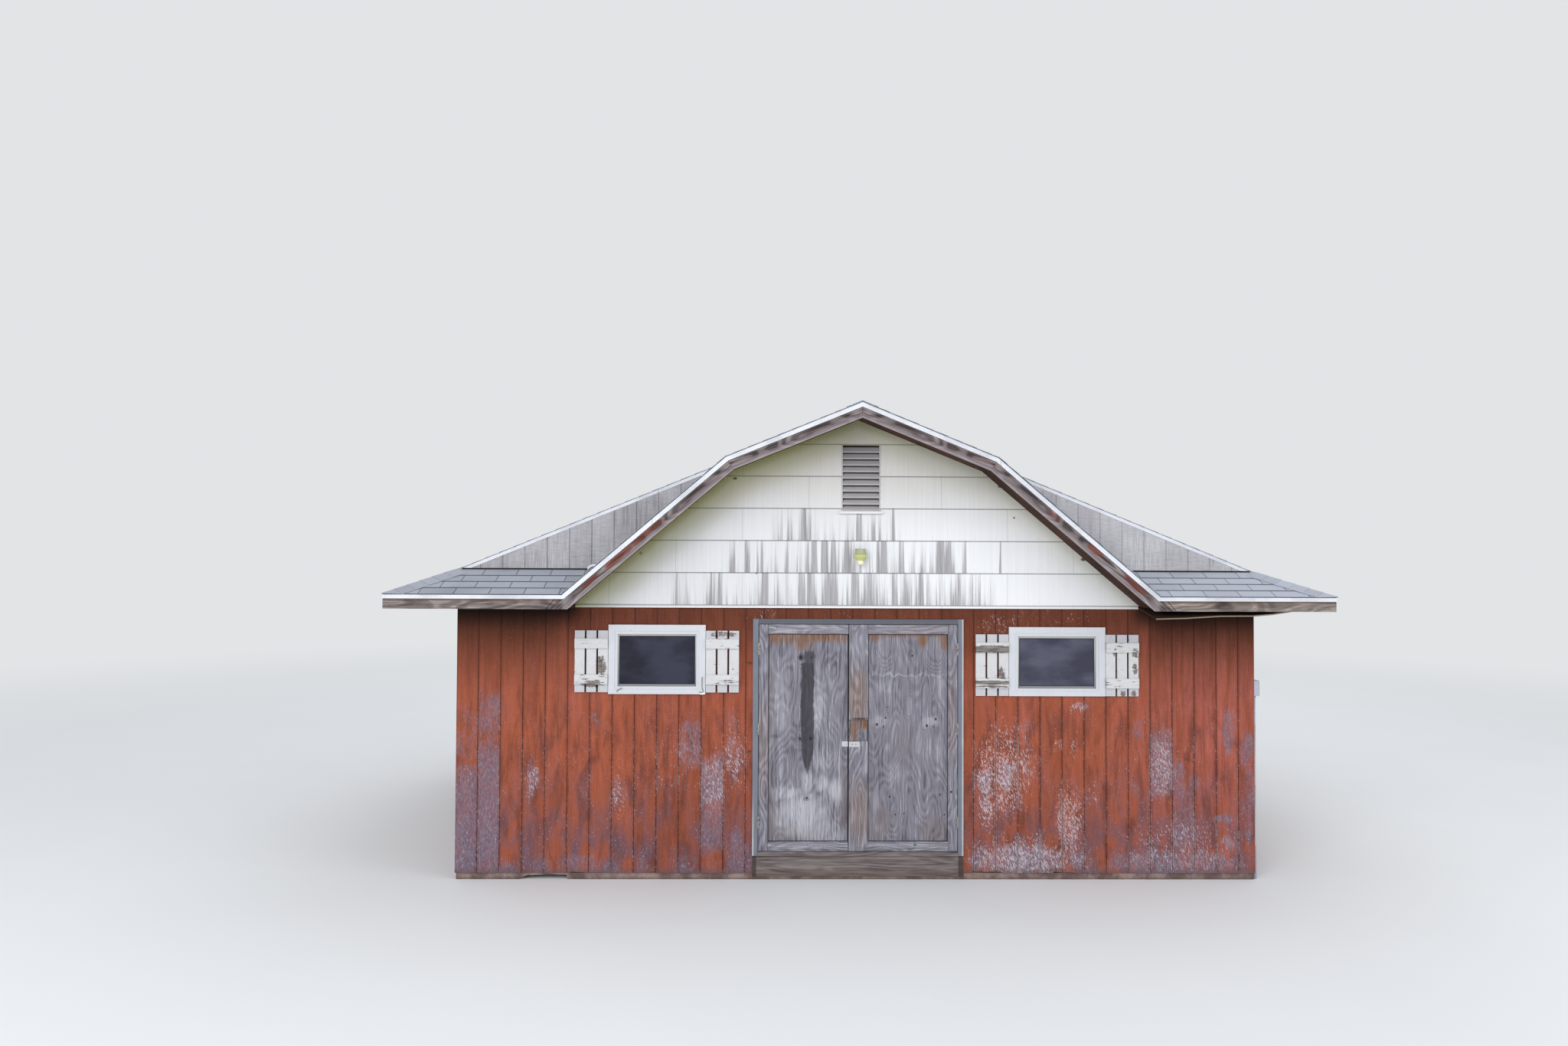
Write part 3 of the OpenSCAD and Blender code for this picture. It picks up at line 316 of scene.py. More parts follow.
RIGHT_BOARDS_PALE_SPOTS = [
    (0.01, 2.12, 0.1, 0.14, 0.4), (0.45, 0.315, 0.4, 0.02, 0.7), (0.5, 2.28, 0.4, 0.03, 0.4)
]
RIGHT_BOARDS_DARK_SPOTS = [
    (0.53, 0.32, 0.015, 0.012, 0.8), (0.86, 0.8, 0.012, 0.014, 1.0), (0.02, 1.465, 0.08, 0.01, 0.9)
]
LEFT_SHUTTER_BARE_SPOTS = [
    (-2.34, 1.95, 0.05, 0.1, 0.75), (-2.44, 1.78, 0.13, 0.04, 0.7), (-1.24, 2.23, 0.14, 0.03, 0.5),
    (-1.2, 1.8, 0.12, 0.03, 0.35)
]
RIGHT_SHUTTER_BARE_SPOTS = [
    (1.24, 2.105, 0.22, 0.034, 1.5), (1.2, 1.8, 0.2, 0.02, 1.3), (1.22, 1.765, 0.16, 0.012, 0.8),
    (1.32, 1.88, 0.04, 0.07, 0.62), (2.55, 2.07, 0.035, 0.05, 0.62), (2.55, 1.93, 0.03, 0.07, 0.6),
    (2.44, 1.695, 0.025, 0.03, 0.66), (2.54, 1.7, 0.025, 0.03, 0.66), (2.36, 2.08, 0.018, 0.04, 0.6)
]


# Material trees


def sign(operation, swapped=False):
    """An arithmetic sign between two terms, or a term and a number, that becomes a Math node."""

    def made(term, other):
        pair = (other, term) if swapped else (term, other)
        return term.nodes.calc(operation, *pair)

    return made


class Term:
    """A value in a node tree. Sums and products of terms and plain numbers become nodes of that tree."""

    __add__, __radd__ = sign("ADD"), sign("ADD", True)
    __sub__, __rsub__ = sign("SUBTRACT"), sign("SUBTRACT", True)
    __mul__, __rmul__ = sign("MULTIPLY"), sign("MULTIPLY", True)
    __truediv__ = sign("DIVIDE")

    def __init__(self, nodes, socket):
        self.nodes, self.socket = nodes, socket

    def __neg__(self):
        return self * -1.0

    def __abs__(self):
        return self.nodes.calc("ABSOLUTE", self)

    def __floor__(self):
        return self.nodes.calc("FLOOR", self)


class Nodes:
    """A node tree, put together with short calls. Terms, sockets and plain values may be mixed freely."""

    def __init__(self, tree):
        self.tree = tree

    def feed(self, socket, value):
        """Links a term or a socket to an input, or sets the input to a plain value."""
        value = getattr(value, "socket", value)
        if isinstance(value, bpy.types.NodeSocket):
            self.tree.links.new(value, socket)
        elif socket.type == "RGBA":
            socket.default_value = (*tuple(value)[:3], 1)
        else:
            socket.default_value = value

    def node(self, kind, feeds=(), **settings):
        """A new node, with what goes into its inputs, by name or by number."""
        made = self.tree.nodes.new(kind)
        for key, value in settings.items():
            setattr(made, key, value)
        for key, value in dict(feeds).items():
            self.feed(made.inputs[key], value)
        return made

    def term(self, kind, feeds=(), output=0, **settings):
        """The value that a new node gives."""
        return Term(self, self.node(kind, feeds, **settings).outputs[output])

    def calc(self, operation, *values):
        return self.term("ShaderNodeMath", dict(enumerate(values)), operation=operation)

    def join(self, x, y, z):
        return self.term("ShaderNodeCombineXYZ", {0: x, 1: y, 2: z})

    def split(self, vector):
        return [Term(self, socket) for socket in self.node("ShaderNodeSeparateXYZ", {0: vector}).outputs]


class Finish(Nodes):
    """One material's node tree."""

    def __init__(self, name):
        self.material = bpy.data.materials.new(name)
        self.material.use_nodes = True
        super().__init__(self.material.node_tree)
        self.tree.nodes.clear()
        self.shader = self.node("ShaderNodeBsdfPrincipled")
        self.output = self.node("ShaderNodeOutputMaterial", {"Surface": self.shader.outputs["BSDF"]})
        self.place = self.term("ShaderNodeTexCoord", output="Object")
        self.x, self.y, self.z = self.split(self.place)

    def most(self, *values):
        return reduce(lambda first, second: self.calc("MAXIMUM", first, second), values)

    def least(self, *values):
        return reduce(lambda first, second: self.calc("MINIMUM", first, second), values)

    def fraction(self, value):
        return self.calc("FRACT", value)

    def wave(self, value):
        return self.calc("SINE", value)

    def over(self, value, limit):
        """1 where the value is over the limit, and 0 elsewhere."""
        return self.calc("GREATER_THAN", value, limit)

    def grid(self, across, across_scale, along, along_scale, seed=0.0):
        """A point for a texture, stretched along the grain, with its own seed."""
        return self.join(across * across_scale, seed, along * along_scale)

    def noise(self, vector, detail=3.0, roughness=0.5, distortion=0.0, scale=1.0):
        feeds = {"Vector": vector, "Scale": scale, "Detail": detail, "Roughness": roughness,
                 "Distortion": distortion}
        return self.term("ShaderNodeTexNoise", feeds, "Fac")

    def cells(self, vector, scale=1.0):
        return self.term("ShaderNodeTexVoronoi", {"Vector": vector, "Scale": scale}, "Distance")

    def chance(self, value, seed=0.0):
        """One random number for each whole value."""
        feeds = {"Vector": self.join(value, seed, 0.0)}
        return self.term("ShaderNodeTexWhiteNoise", feeds, "Value", noise_dimensions="2D")

    def fade(self, value, start, end, top=1.0):
        """0 at start and top at end, with a soft change between them."""
        feeds = dict(enumerate((value, start, end, 0.0, top)))
        return self.term("ShaderNodeMapRange", feeds, interpolation_type="SMOOTHSTEP")

    def band(self, value, low, high, soft):
        """1 between low and high, and 0 outside them."""
        return self.fade(value, low - soft, low + soft) * self.fade(value, high + soft, high - soft)

    def pick(self, share, first, second):
        """The first value where the share is 0, and the second where it is 1."""
        return self.term("ShaderNodeMix", {0: share, 2: first, 3: second}, data_type="FLOAT")

    def mix(self, share, first, second):
        """The same for two colours."""
        return self.term("ShaderNodeMix", {0: share, 6: first, 7: second}, 2, data_type="RGBA")

    def shade(self, colour, share):
        """The colour made darker or lighter: a share of 1 leaves it as it is."""
        grey = self.join(share, share, share) if isinstance(share, Term) else (share, share, share)
        return self.term("ShaderNodeMix", {0: 1.0, 6: colour, 7: grey}, 2, data_type="RGBA",
                         blend_type="MULTIPLY")

    def spots(self, across, along, places):
        """The strongest of several soft oval patches: (across, along, half width, half height, strength)."""
        point = self.join(across, 0.0, along)
        found = 0.0
        for centre_x, centre_z, half_x, half_z, strength in places:
            moved = self.term("ShaderNodeVectorMath", {0: point, 1: (centre_x, 0, centre_z)},
                              operation="SUBTRACT")
            sized = self.term("ShaderNodeVectorMath", {0: moved, 1: (1 / half_x, 0, 1 / half_z)},
                              operation="MULTIPLY")
            reach = self.term("ShaderNodeVectorMath", {0: sized}, "Value", operation="LENGTH")
            found = self.most(found, self.fade(reach, 1.35, 0.45, strength))
        return found

    def relief(self, height, depth):
        """Bump from a height between 0 and 1, depth metres deep."""
        return self.term("ShaderNodeBump", {"Height": height, "Distance": depth})

    def done(self, colour, roughness, normal=None, metallic=0.0, shine=0.15):
        """Puts the surface together, and returns the material."""
        feeds = {"Base Color": colour, "Specular IOR Level": shine, "Roughness": roughness,
                 "Metallic": metallic}
        if normal:
            feeds["Normal"] = normal
        for key, value in feeds.items():
            self.feed(self.shader.inputs[key], value)
        return self.material


def siding_finish(name, looks, across, depth, first_groove, board_spots=(), free_spots=(), chalk_spots=(),
                  covered=(), gabled=False):
    """Stained grooved siding. across names the axis along the wall; depth is (axis, face, direction inwards).

    covered names the solids that lie on the wall; behind them the wall gets painted shade. Under the eaves
    the wall gets painted shade and, right under the overhang, a painted shadow; on a gabled wall the painted
    shade follows the slope of the roof. The grooves and their sides get painted shade.
    """
    f = Finish(name)
    u = {"x": f.x, "y": f.y}[across]
    behind = ({"x": f.x, "y": f.y}[depth[0]] - depth[1]) * depth[2]
    board = math.floor((u - first_groove) / looks.pitch)
    board_x = (board + 0.5) * looks.pitch + first_groove
    luck = f.chance(board, 3.1)
    fibre = f.noise(f.grid(u, 170, f.z, 8, 1.7), 4, 0.65)
    streak = f.noise(f.grid(u, 24, f.z, 1.4, 9.4), 4, 0.6, 0.3)
    cloud = f.noise(f.grid(u, 5.5, f.z, 3.2, 4.2), 4, 0.6, 0.3)
    fleck = f.noise(f.grid(u, 80, f.z, 27, 12.2), 4, 0.66, 0.6)
    slant = f.noise(f.join((u + f.z * 0.38) * 96, 3.3, f.z * 36), 5, 0.7, 0.3)
    blot = f.noise(f.grid(u, 9, f.z, 2.6, 22.0), 4, 0.62, 0.5)
    speck = f.noise(f.grid(u, 150, f.z, 62, 5.5), 4, 0.68)
    dot = f.cells(f.join(u * 40, 1.0, f.z * 28), 1.0) + (speck - 0.5) * 0.5
    brush = f.noise(f.grid(f.z, 60, u, 9, 15.1), 3, 0.6)
    wander = (f.noise(f.grid(u, 10, f.z, 5, 8.8), 4, 0.6) - 0.5) * 0.2
    v = f.z + wander
    wear = f.fade(f.z, 0.46, 0.07, 0.56) + luck * 0.06
    if board_spots:
        wear = f.most(wear, f.spots(board_x, v, board_spots))
    if free_spots:
        wear = f.most(wear, f.spots(u + wander * 0.5, v, free_spots))
    raw = cloud * 0.56 + fleck * 0.3 + fibre * 0.2 + speck * 0.14 + wear * 0.46
    worn = f.fade(raw, 0.74, 1.02)
    chalk_wear = wear * 0.02 + f.fade(f.z, 1.7, 0.9) * f.fade(cloud, 0.36, 0.6) * 0.03
    spread = f.spots(u + wander * 0.5, v, chalk_spots)
    chalk_wear = chalk_wear + spread * 0.11
    chalk = f.fade(slant * 0.86 + fibre * 0.14 + chalk_wear, 0.65, 0.725)
    tone = -0.08 + luck * 0.16 + streak * 0.78 + cloud * 0.56 + brush * 0.2 + speck * 0.5
    beside = abs(f.x)
    # eave_shade is painted shade: the wall darkens towards the eaves, and on a gabled wall along the roof's
    # slope
    if gabled:
        eave_shade = f.fade(f.z + beside * math.tan(PITCH), RIDGE_Z - 0.75, RIDGE_Z - 0.15, 0.7)
    else:
        eave_shade = f.most(f.fade(f.z, WALL_TOP - 0.8, WALL_TOP - 0.06, 0.84),
                           f.fade(f.z, WALL_TOP - 0.95, WALL_TOP - 0.1) * f.fade(beside, 2.4, 2.8))
    colour = f.mix(f.fade(cloud, 0.4, 0.66) * 0.42, looks.stain, paint(138, 78, 68))
    if across == "x":
        colour = f.mix(f.fade(f.x, 2.2, 3.2) * f.fade(streak, 0.25, 0.65) * (0.12 + blot * 0.9), colour,
                       paint(166, 92, 84))
    colour = f.mix(f.fade(blot, 0.42, 0.68) * f.fade(f.z, 2.2, 1.2) * 0.62, colour, paint(88, 50, 44))
    colour = f.mix(eave_shade, colour, looks.stain_in_eave_shade)
    colour = f.shade(colour, tone * (0.7 + fibre * 0.6))
    damp = f.fade(f.z, 1.25, 0.12) * f.fade(cloud * 0.7 + streak * 0.3, 0.38, 0.62) * 0.7
    colour = f.mix(damp, colour, f.shade(looks.worn, 0.46 + fleck * 0.4))
    worn_colour = f.mix(f.fade(fleck, 0.4, 0.64) * (0.22 + spread * 0.4), looks.worn, looks.pale)
    worn_colour = f.shade(worn_colour, 0.6 + fibre * 0.36 + streak * 0.3 + speck * 0.14)
    torn = 0.4 + f.fade(slant, 0.44, 0.58) * 0.4 + f.fade(wear, 0.7, 1.0) * 0.12
    colour = f.mix(worn * torn, colour, worn_colour)
    chalk_colour = f.mix(f.fade(cloud, 0.42, 0.58), paint(208, 182, 182), looks.pale)
    colour = f.mix(chalk * 0.8, colour, f.shade(chalk_colour, 0.8 + fibre * 0.3))
    dots = f.fade(dot, 0.13, 0.05) * f.fade(cloud + fleck * 0.5, 0.7, 0.84) * f.fade(f.z, 1.75, 1.25)
    colour = f.mix(dots * 0.72, colour, looks.pale)
    foot = f.fade(f.z, WALL_FOOT + 0.06, WALL_FOOT + 0.004, 0.45)
    colour = f.mix(foot, colour, paint(92, 80, 80))
    edge = abs(f.fraction((u - first_groove) / looks.pitch) - 0.5)
    # painted shade along the sides of each groove, patchy with the streaks
    groove_side_shade = f.fade(edge, 0.36, 0.5) * f.fade(streak, 0.3, 0.7)
    colour = f.mix(groove_side_shade * 0.55, colour, paint(84, 46, 36))
    rim = f.fade(edge, 0.458, 0.474) * f.fade(slant + chalk_wear * 1.6, 0.56, 0.68) * f.fade(f.z, 2.0, 1.4)
    colour = f.mix(rim * 0.62, colour, looks.pale)
    # painted shade inside the grooves
    groove = f.fade(behind, 0.0008, 0.003)
    colour = f.mix(groove * 0.74, colour, paint(84, 42, 36))
    # painted shade on the wall behind the solids that lie on it, seen through their gaps
    for low, high in map(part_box, covered):
        shade_behind = f.band(u, low.x, high.x, 0.006) * f.band(f.z, low.z, high.z, 0.006) * 0.78
        colour = f.mix(shade_behind, colour, paint(38, 28, 27))
    if not gabled:
        # painted shadow: the top of the wall goes nearly black right under the eave overhang, beside the gable's
        # middle
        eave_shadow = f.fade(f.z, WALL_TOP - 0.27, WALL_TOP - 0.03, 0.94) * f.fade(beside, 2.45, 2.66)
        colour = f.mix(eave_shadow, colour, paint(20, 12, 10))
    inside = f.fade(behind, 0.0142, 0.0148)
    colour = f.mix(inside, colour, f.shade(paint(176, 140, 98), 0.75 + fibre * 0.45))
    height = fibre * 0.6 - worn * 0.4 + chalk * 0.3 + fleck * 0.2
    return f.done(colour, 0.76 + worn * 0.12, f.relief(height, 0.0012))


def rings(f, u, v, seed, count, across=5.0, along=1.0, knots=()):
    """Lines of a peeled veneer: level lines of a slow hill field, with whirls round the knots."""
    wave = (f.noise(f.grid(u, 30, v, 7, seed + 3), 3, 0.6) - 0.5) * 0.05
    hills = f.noise(f.grid(u, across, v, along, seed), 1.4, 0.4, 0.15)
    field = hills + wave
    if knots:
        field = field + f.spots(u, v, [(x, z, r * 3.2, r * 6.5, 0.13) for x, z, r in knots])
    turn = f.wave(field * (count * math.tau))
    return f.fade(turn, -0.9, 0.95)


def wood_tones(f, looks, value):
    """Dark, plain and light wood from a value that runs from 0 to 1."""
    colour = f.mix(f.fade(value, 0.18, 0.48), f.mix(0.85, looks.grey, looks.dark), looks.grey)
    return f.mix(f.fade(value, 0.50, 0.84), colour, f.mix(0.90, looks.grey, looks.light))


def leaf_finish(name, looks, seed, rough, edges, knots, long_stain, dark_spots, pale_spots, rust_spots,
                brown_spots, arcs=()):
    """Bare weathered plywood of a door leaf, with painted contact shade along its boards' edges. rough tells how
    open its grain is, from 0 to 1.
    """
    f = Finish(name)
    wander = (f.noise(f.grid(f.x, 14, f.z, 6, seed + 6), 3) - 0.5) * 0.13
    u, v = f.x + wander * 0.3, f.z + wander
    fibre = f.noise(f.grid(f.x, 210, f.z, 7, seed), 4, 0.65)
    streak = f.noise(f.grid(u, 58, v, 1.5, seed + 1), 4, 0.66, 0.4)
    wide = f.noise(f.grid(u, 15, f.z, 1.1, seed + 4), 3, 0.55, 0.2)
    line = rings(f, f.x, f.z, seed + 2, 15, 4.6, 1.5, knots)
    cloud = f.noise(f.grid(f.x, 3.0, f.z, 2.2, seed + 5), 4, 0.55)
    if arcs:
        bend = f.spots(f.x, f.z, [(x, z, wide_x, high, 0.55) for x, z, wide_x, high in arcs])
        arc_line = f.fade(f.wave((bend + (wide + streak) * 0.14) * (9 * math.tau)), -0.7, 0.9)
        line = line * f.fade(bend, 0.25, 0.05) + arc_line * f.fade(bend, 0.05, 0.25)
    hair = f.noise(f.grid(u, 125, v, 2.2, seed + 9), 4, 0.7, 0.35)
    value = (0.47 + (line - 0.5) * 0.15 + (streak - 0.5) * (0.62 + 0.4 * rough) + (fibre - 0.5) * 0.6
             + (hair - 0.5) * 0.95 + (wide - 0.5) * 0.55 + (cloud - 0.5) * 0.45)
    colour = wood_tones(f, looks, value)
    brown = f.spots(u, v, brown_spots) * f.fade(streak, 0.38, 0.6)
    colour = f.mix(brown * 0.6, colour, paint(112, 94, 84))
    bloom = f.spots(u, v, pale_spots) * f.fade(cloud * 0.4 + streak * 0.4 + hair * 0.4, 0.46, 0.7)
    colour = f.mix(bloom * 0.58, colour, paint(205, 205, 212))
    drip = f.fade(f.noise(f.grid(f.x, 85, f.z, 4, seed + 8), 4, 0.62), 0.36, 0.6)
    rust_zone = f.spots(f.x, f.z, rust_spots)
    colour = f.mix(f.least(rust_zone * 0.36, 0.36), colour, paint(124, 98, 74))
    rusty = rust_zone * drip
    colour = f.mix(rusty * 0.8, colour, f.mix(f.fade(hair, 0.38, 0.62), f.shade(looks.rust, 0.42), looks.rust))
    if long_stain:
        centre, half, low, high = long_stain
        neck = f.fade(f.z, high - 0.14, high - 0.1)
        width = f.fade(f.z, low - 0.04, low + 0.3) * (half - neck * 0.018)
        ragged = (f.noise(f.grid(f.x, 30, f.z, 11, seed + 7), 3, 0.6) - 0.5) * 0.045
        inward = width - abs(f.x - centre + wander * 0.16 - neck * 0.012) + ragged
        stain = f.fade(inward, -0.005, 0.013) * f.fade(f.z + ragged, high + 0.01, high - 0.03)
        stain = stain * f.fade(f.z, low - 0.05, low + 0.1) * (0.5 + streak * 0.72 - neck * 0.14)
        colour = f.mix(f.least(stain, 0.96), colour, f.shade(paint(57, 54, 60), 0.1 + hair * 1.3 + fibre * 0.5))
    stain = f.spots(u, f.z, dark_spots) * (0.6 + streak * 0.5)
    colour = f.mix(f.least(stain * 0.8, 0.86), colour, paint(58, 56, 60))
    if knots:
        centre = f.spots(f.x, f.z, [(x, z, r * 1.2, r * 1.5, 1.0) for x, z, r in knots])
        colour = f.mix(centre * 0.92, colour, paint(40, 36, 38))
    ways = {"x": f.x, "z": f.z}
    # painted contact shade on the panel along the edges of the boards that lie on it
    gap = f.most(*[f.fade(abs(ways[axis] - place), 0.013, 0.003, 0.85) for axis, place in edges])
    colour = f.mix(gap, colour, paint(52, 47, 46))
    height = line * 0.25 + fibre * 0.4 + streak * 0.35
    return f.done(colour, 0.86, f.relief(height, 0.0016))


def board_finish(name, looks, seed, rail_heights, rail_ends, brown_spots=(), pale_spots=(), dark_spots=()):
    """Weathered solid boards. The grain runs up, and across in the rails between the upright boards."""
    f = Finish(name)
    at_rail = f.most(f.calc("LESS_THAN", f.z, rail_heights[0]), f.over(f.z, rail_heights[1]))
    between = f.over(f.x, rail_ends[0]) * f.calc("LESS_THAN", f.x, rail_ends[1])
    level = at_rail * between
    u, v = f.pick(level, f.x, f.z), f.pick(level, f.z, f.x)
    fibre = f.noise(f.grid(u, 230, v, 6, seed), 4, 0.62)
    streak = f.noise(f.grid(u, 60, v, 2.0, seed + 1), 4, 0.62, 0.5)
    hair = f.noise(f.grid(u, 120, v, 3.2, seed + 9), 4, 0.66, 0.6)
    line = rings(f, u, v, seed + 2, 13, 6.5, 1.5)
    value = 0.5 + (line - 0.5) * 0.22 + (streak - 0.5) * 0.95 + (fibre - 0.5) * 0.6 + (hair - 0.5) * 0.85
    colour = wood_tones(f, looks, value)
    brown = f.spots(f.x, f.z, brown_spots) * 0.66
    colour = f.mix(brown, colour, f.shade(paint(136, 116, 105), 0.42 + value * 1.1))
    colour = f.mix(f.spots(f.x, f.z, pale_spots) * 0.5, colour, looks.light)
    colour = f.mix(f.spots(f.x, f.z, dark_spots) * 0.86, colour, paint(46, 42, 42))
    seam = f.most(*[f.fade(abs(f.x - end), 0.003, 0.001) for end in rail_ends])
    colour = f.mix(seam * at_rail * 0.7, colour, paint(58, 52, 52))
    height = line * 0.25 + fibre * 0.5 + streak * 0.3 - seam * at_rail
    return f.done(colour, 0.87, f.relief(height, 0.0014))


def lap_panel_finish(looks):
    """Painted lap panels with combed texture, joints, peeled streaks and green algae under the soffit, with
    painted shade under the soffit and under each course, and painted light to the right.
    """
    f = Finish("white_lap_panels")
    height = (f.z - PANEL_Z) / looks.course
    course = math.floor(height)
    up = f.fraction(height)
    comb = f.noise(f.grid(f.x, 175, f.z, 1.2, 2.0), 3, 0.6)
    comb_wide = f.noise(f.grid(f.x, 48, f.z, 0.8, 4.0), 3, 0.6)
    soft = f.noise(f.grid(f.x, 2.0, f.z, 2.0, 6.0), 3)
    on_course = [f.calc("COMPARE", course, float(k), 0.3) for k in range(3)]
    core = (on_course[0] * (f.band(f.x, -1.72, 1.26, 0.2) + f.band(f.x, -0.8, 1.05, 0.3)) * 0.055
            + on_course[1] * (f.band(f.x, -1.24, 0.98, 0.12) + f.band(f.x, -0.62, 0.62, 0.3)) * 0.045
            + on_course[2] * f.band(f.x, -0.76, 0.38, 0.1) * 0.055)
    named = f.spots(f.x, course, PEELED_STREAKS)
    lines = f.noise(f.join(f.x * 62, course * 7.3, f.z * 1.1), 4, 0.68)
    bands = f.noise(f.join(f.x * 19, course * 5.1, f.z * 0.6), 3, 0.6)
    hairs = f.noise(f.join(f.x * 190, course * 3.7, f.z * 2.2), 4, 0.66)
    placed = f.fade(named, 0.05, 0.17) * (0.1 + named * 0.36)
    odds = lines * 0.62 + bands * 0.72 + hairs * 0.24 + core * 1.1 + placed - up * 0.15
    reach = f.most(f.fade(core, 0.004, 0.05), f.fade(named, 0.02, 0.12))
    peeled = f.fade(odds, 0.862, 0.985) * reach * (0.36 + f.fade(hairs, 0.34, 0.6) * 0.5)
    grime = f.fade(odds, 0.73, 0.93) * reach * 0.42
    across = abs(f.x)
    d_top = (RIDGE_Z - across * math.tan(PITCH) - f.z) * math.cos(PITCH)
    d_low = (EAVE_Z + LOW_SLOPE * FOOT_X - across * LOW_SLOPE - f.z) * math.cos(LOW_PITCH)
    under = f.least(d_top, d_low) - 0.095
    # left weights both marks towards the left as painted shade; algae_and_shade is green algae with painted
    # shade, and shade is painted shade right under the soffit
    left = 0.3 + f.fade(f.x, 0.9, -0.5, 0.7)
    algae_and_shade = f.fade(under + soft * 0.1, 0.4, 0.04) * left * (0.55 + comb_wide * 0.8)
    shade = f.fade(under, 0.1, 0.0) * left
    joint_x = f.fraction((f.x + 0.45 + f.fraction(course * 0.5) * looks.sheet) / looks.sheet)
    joint = f.fade(abs(joint_x - 0.5), 0.0022, 0.0008)
    # painted shadow: a faint dark line along each butt and a stronger one just under the butt of the course
    # above
    butt_shadow = f.most(f.fade(up, 0.016, 0.003, 0.25), f.fade(up, 0.958, 0.982, 0.62))
    # painted light: the panels lighter to the right and darker to the left
    painted_light = f.fade(f.x, -1.5, 1.5, 0.18)
    colour = f.shade(looks.white, 0.71 + painted_light + comb * 0.2 + comb_wide * 0.15 + soft * 0.04)
    # darker and warmer towards the top
    upper_tone = f.shade(paint(186, 180, 168), 0.8 + comb * 0.36)
    colour = f.mix(f.fade(f.z, PANEL_Z + 0.55, PANEL_Z + 1.25, 0.5), colour, upper_tone)
    colour = f.mix(algae_and_shade * 0.76, colour, looks.algae_and_shade)
    colour = f.mix(shade * 0.6, colour, paint(132, 130, 66))
    colour = f.mix(grime, colour, looks.bare)
    tone = f.noise(f.join(f.x * 30, course * 2.0, 0.0), 2)
    bare = f.mix(f.fade(tone, 0.38, 0.64), looks.bare, paint(124, 120, 124))
    colour = f.mix(peeled, colour, f.shade(bare, 0.62 + hairs * 0.7 + up * 0.16))
    colour = f.mix(joint * 0.34, colour, paint(110, 108, 108))
    colour = f.mix(butt_shadow, colour, paint(92, 90, 90))
    mud = f.spots(f.x, f.z, PANEL_MUD)
    mud = mud * (0.5 + hairs * 0.7)
    colour = f.mix(f.least(mud, 0.9), colour, paint(66, 62, 36))
    depth = comb * 0.6 + comb_wide * 0.4 - peeled * 0.9 - joint * 0.8
    return f.done(colour, 0.62 + peeled * 0.25, f.relief(depth, 0.001))


def bare_gable_finish(looks):
    """Silver-grey grooved plywood of the main gable, bare, with fine crossing checks and dirty runs."""
    f = Finish("bare_plywood")
    fibre = f.noise(f.grid(f.x, 130, f.z, 5, 1.0), 4, 0.62)
    streak = f.noise(f.grid(f.x, 30, f.z, 1.6, 2.0), 4, 0.62, 0.3)
    check = f.noise(f.grid(f.z, 110, f.x, 11, 3.0), 4, 0.6)
    rung = f.noise(f.grid(f.z, 42, f.x, 5, 6.0), 3, 0.55)
    cloud = f.noise(f.grid(f.x, 2.4, f.z, 3.0, 5.0), 4, 0.6)
    board = f.chance(math.floor((f.x + WALL_X) / GROOVE_PITCH), 5.0)
    value = (1.0 + (fibre - 0.5) * 0.58 + (streak - 0.5) * 0.46 + (check - 0.5) * 0.62 + (rung - 0.5) * 0.26
             + (cloud - 0.5) * 0.52 + (board - 0.5) * 0.08)
    colour = f.shade(looks.plywood, value - 0.08 + f.fade(f.x, -0.5, 1.5, 0.16))
    dirt = f.spots(f.x, f.z, GABLE_DIRT) * f.fade(streak * 0.7 + fibre * 0.3, 0.46, 0.6)
    colour = f.mix(dirt * 0.66, colour, paint(92, 86, 88))
    pale = f.spots(f.x, f.z, GABLE_PALE) * f.fade(fibre, 0.45, 0.65)
    colour = f.mix(pale * 0.5, colour, paint(205, 205, 208))
    behind = f.y - FRONT_Y
    # painted shade inside the grooves, stronger towards the left
    shown = 0.1 + f.noise(f.grid(f.x, 2, f.z, 6, 8.0), 2) * f.fade(f.x, 0.5, -0.5, 0.7)
    colour = f.mix(f.fade(behind, 0.0008, 0.003) * shown, colour, paint(96, 92, 100))
    colour = f.mix(f.fade(behind, 0.0142, 0.0148), colour, f.shade(paint(176, 140, 98), 0.75 + fibre * 0.45))
    return f.done(colour, 0.84, f.relief(fibre * 0.6 + check * 0.4, 0.0012))


def louvre_finish():
    """Grey louvre slats, pale at the front, with painted shade in the gaps between them and a white sill."""
    f = Finish("grey_louvres")
    grain = f.noise(f.grid(f.z, 120, f.x, 6, 1.0), 4, 0.6)
    cloud = f.noise(f.place, 3, 0.5, 0, 6)
    front = f.fade(f.y, FRONT_Y - 0.002, FRONT_Y - 0.01)
    colour = f.mix(front, paint(172, 168, 170), paint(182, 179, 181))
    colour = f.shade(colour, 0.8 + grain * 0.26 + cloud * 0.14)
    # painted shade deep in the gaps between the slats
    gap_shade = f.fade(f.y, FRONT_Y + 0.018, FRONT_Y + 0.036, 0.85)
    colour = f.mix(gap_shade, colour, paint(30, 28, 30))
    sill = f.fade(f.y, FRONT_Y - 0.017, FRONT_Y - 0.02)
    colour = f.mix(sill, colour, paint(222, 222, 222))
    return f.done(colour, 0.78, f.relief(grain, 0.0008))


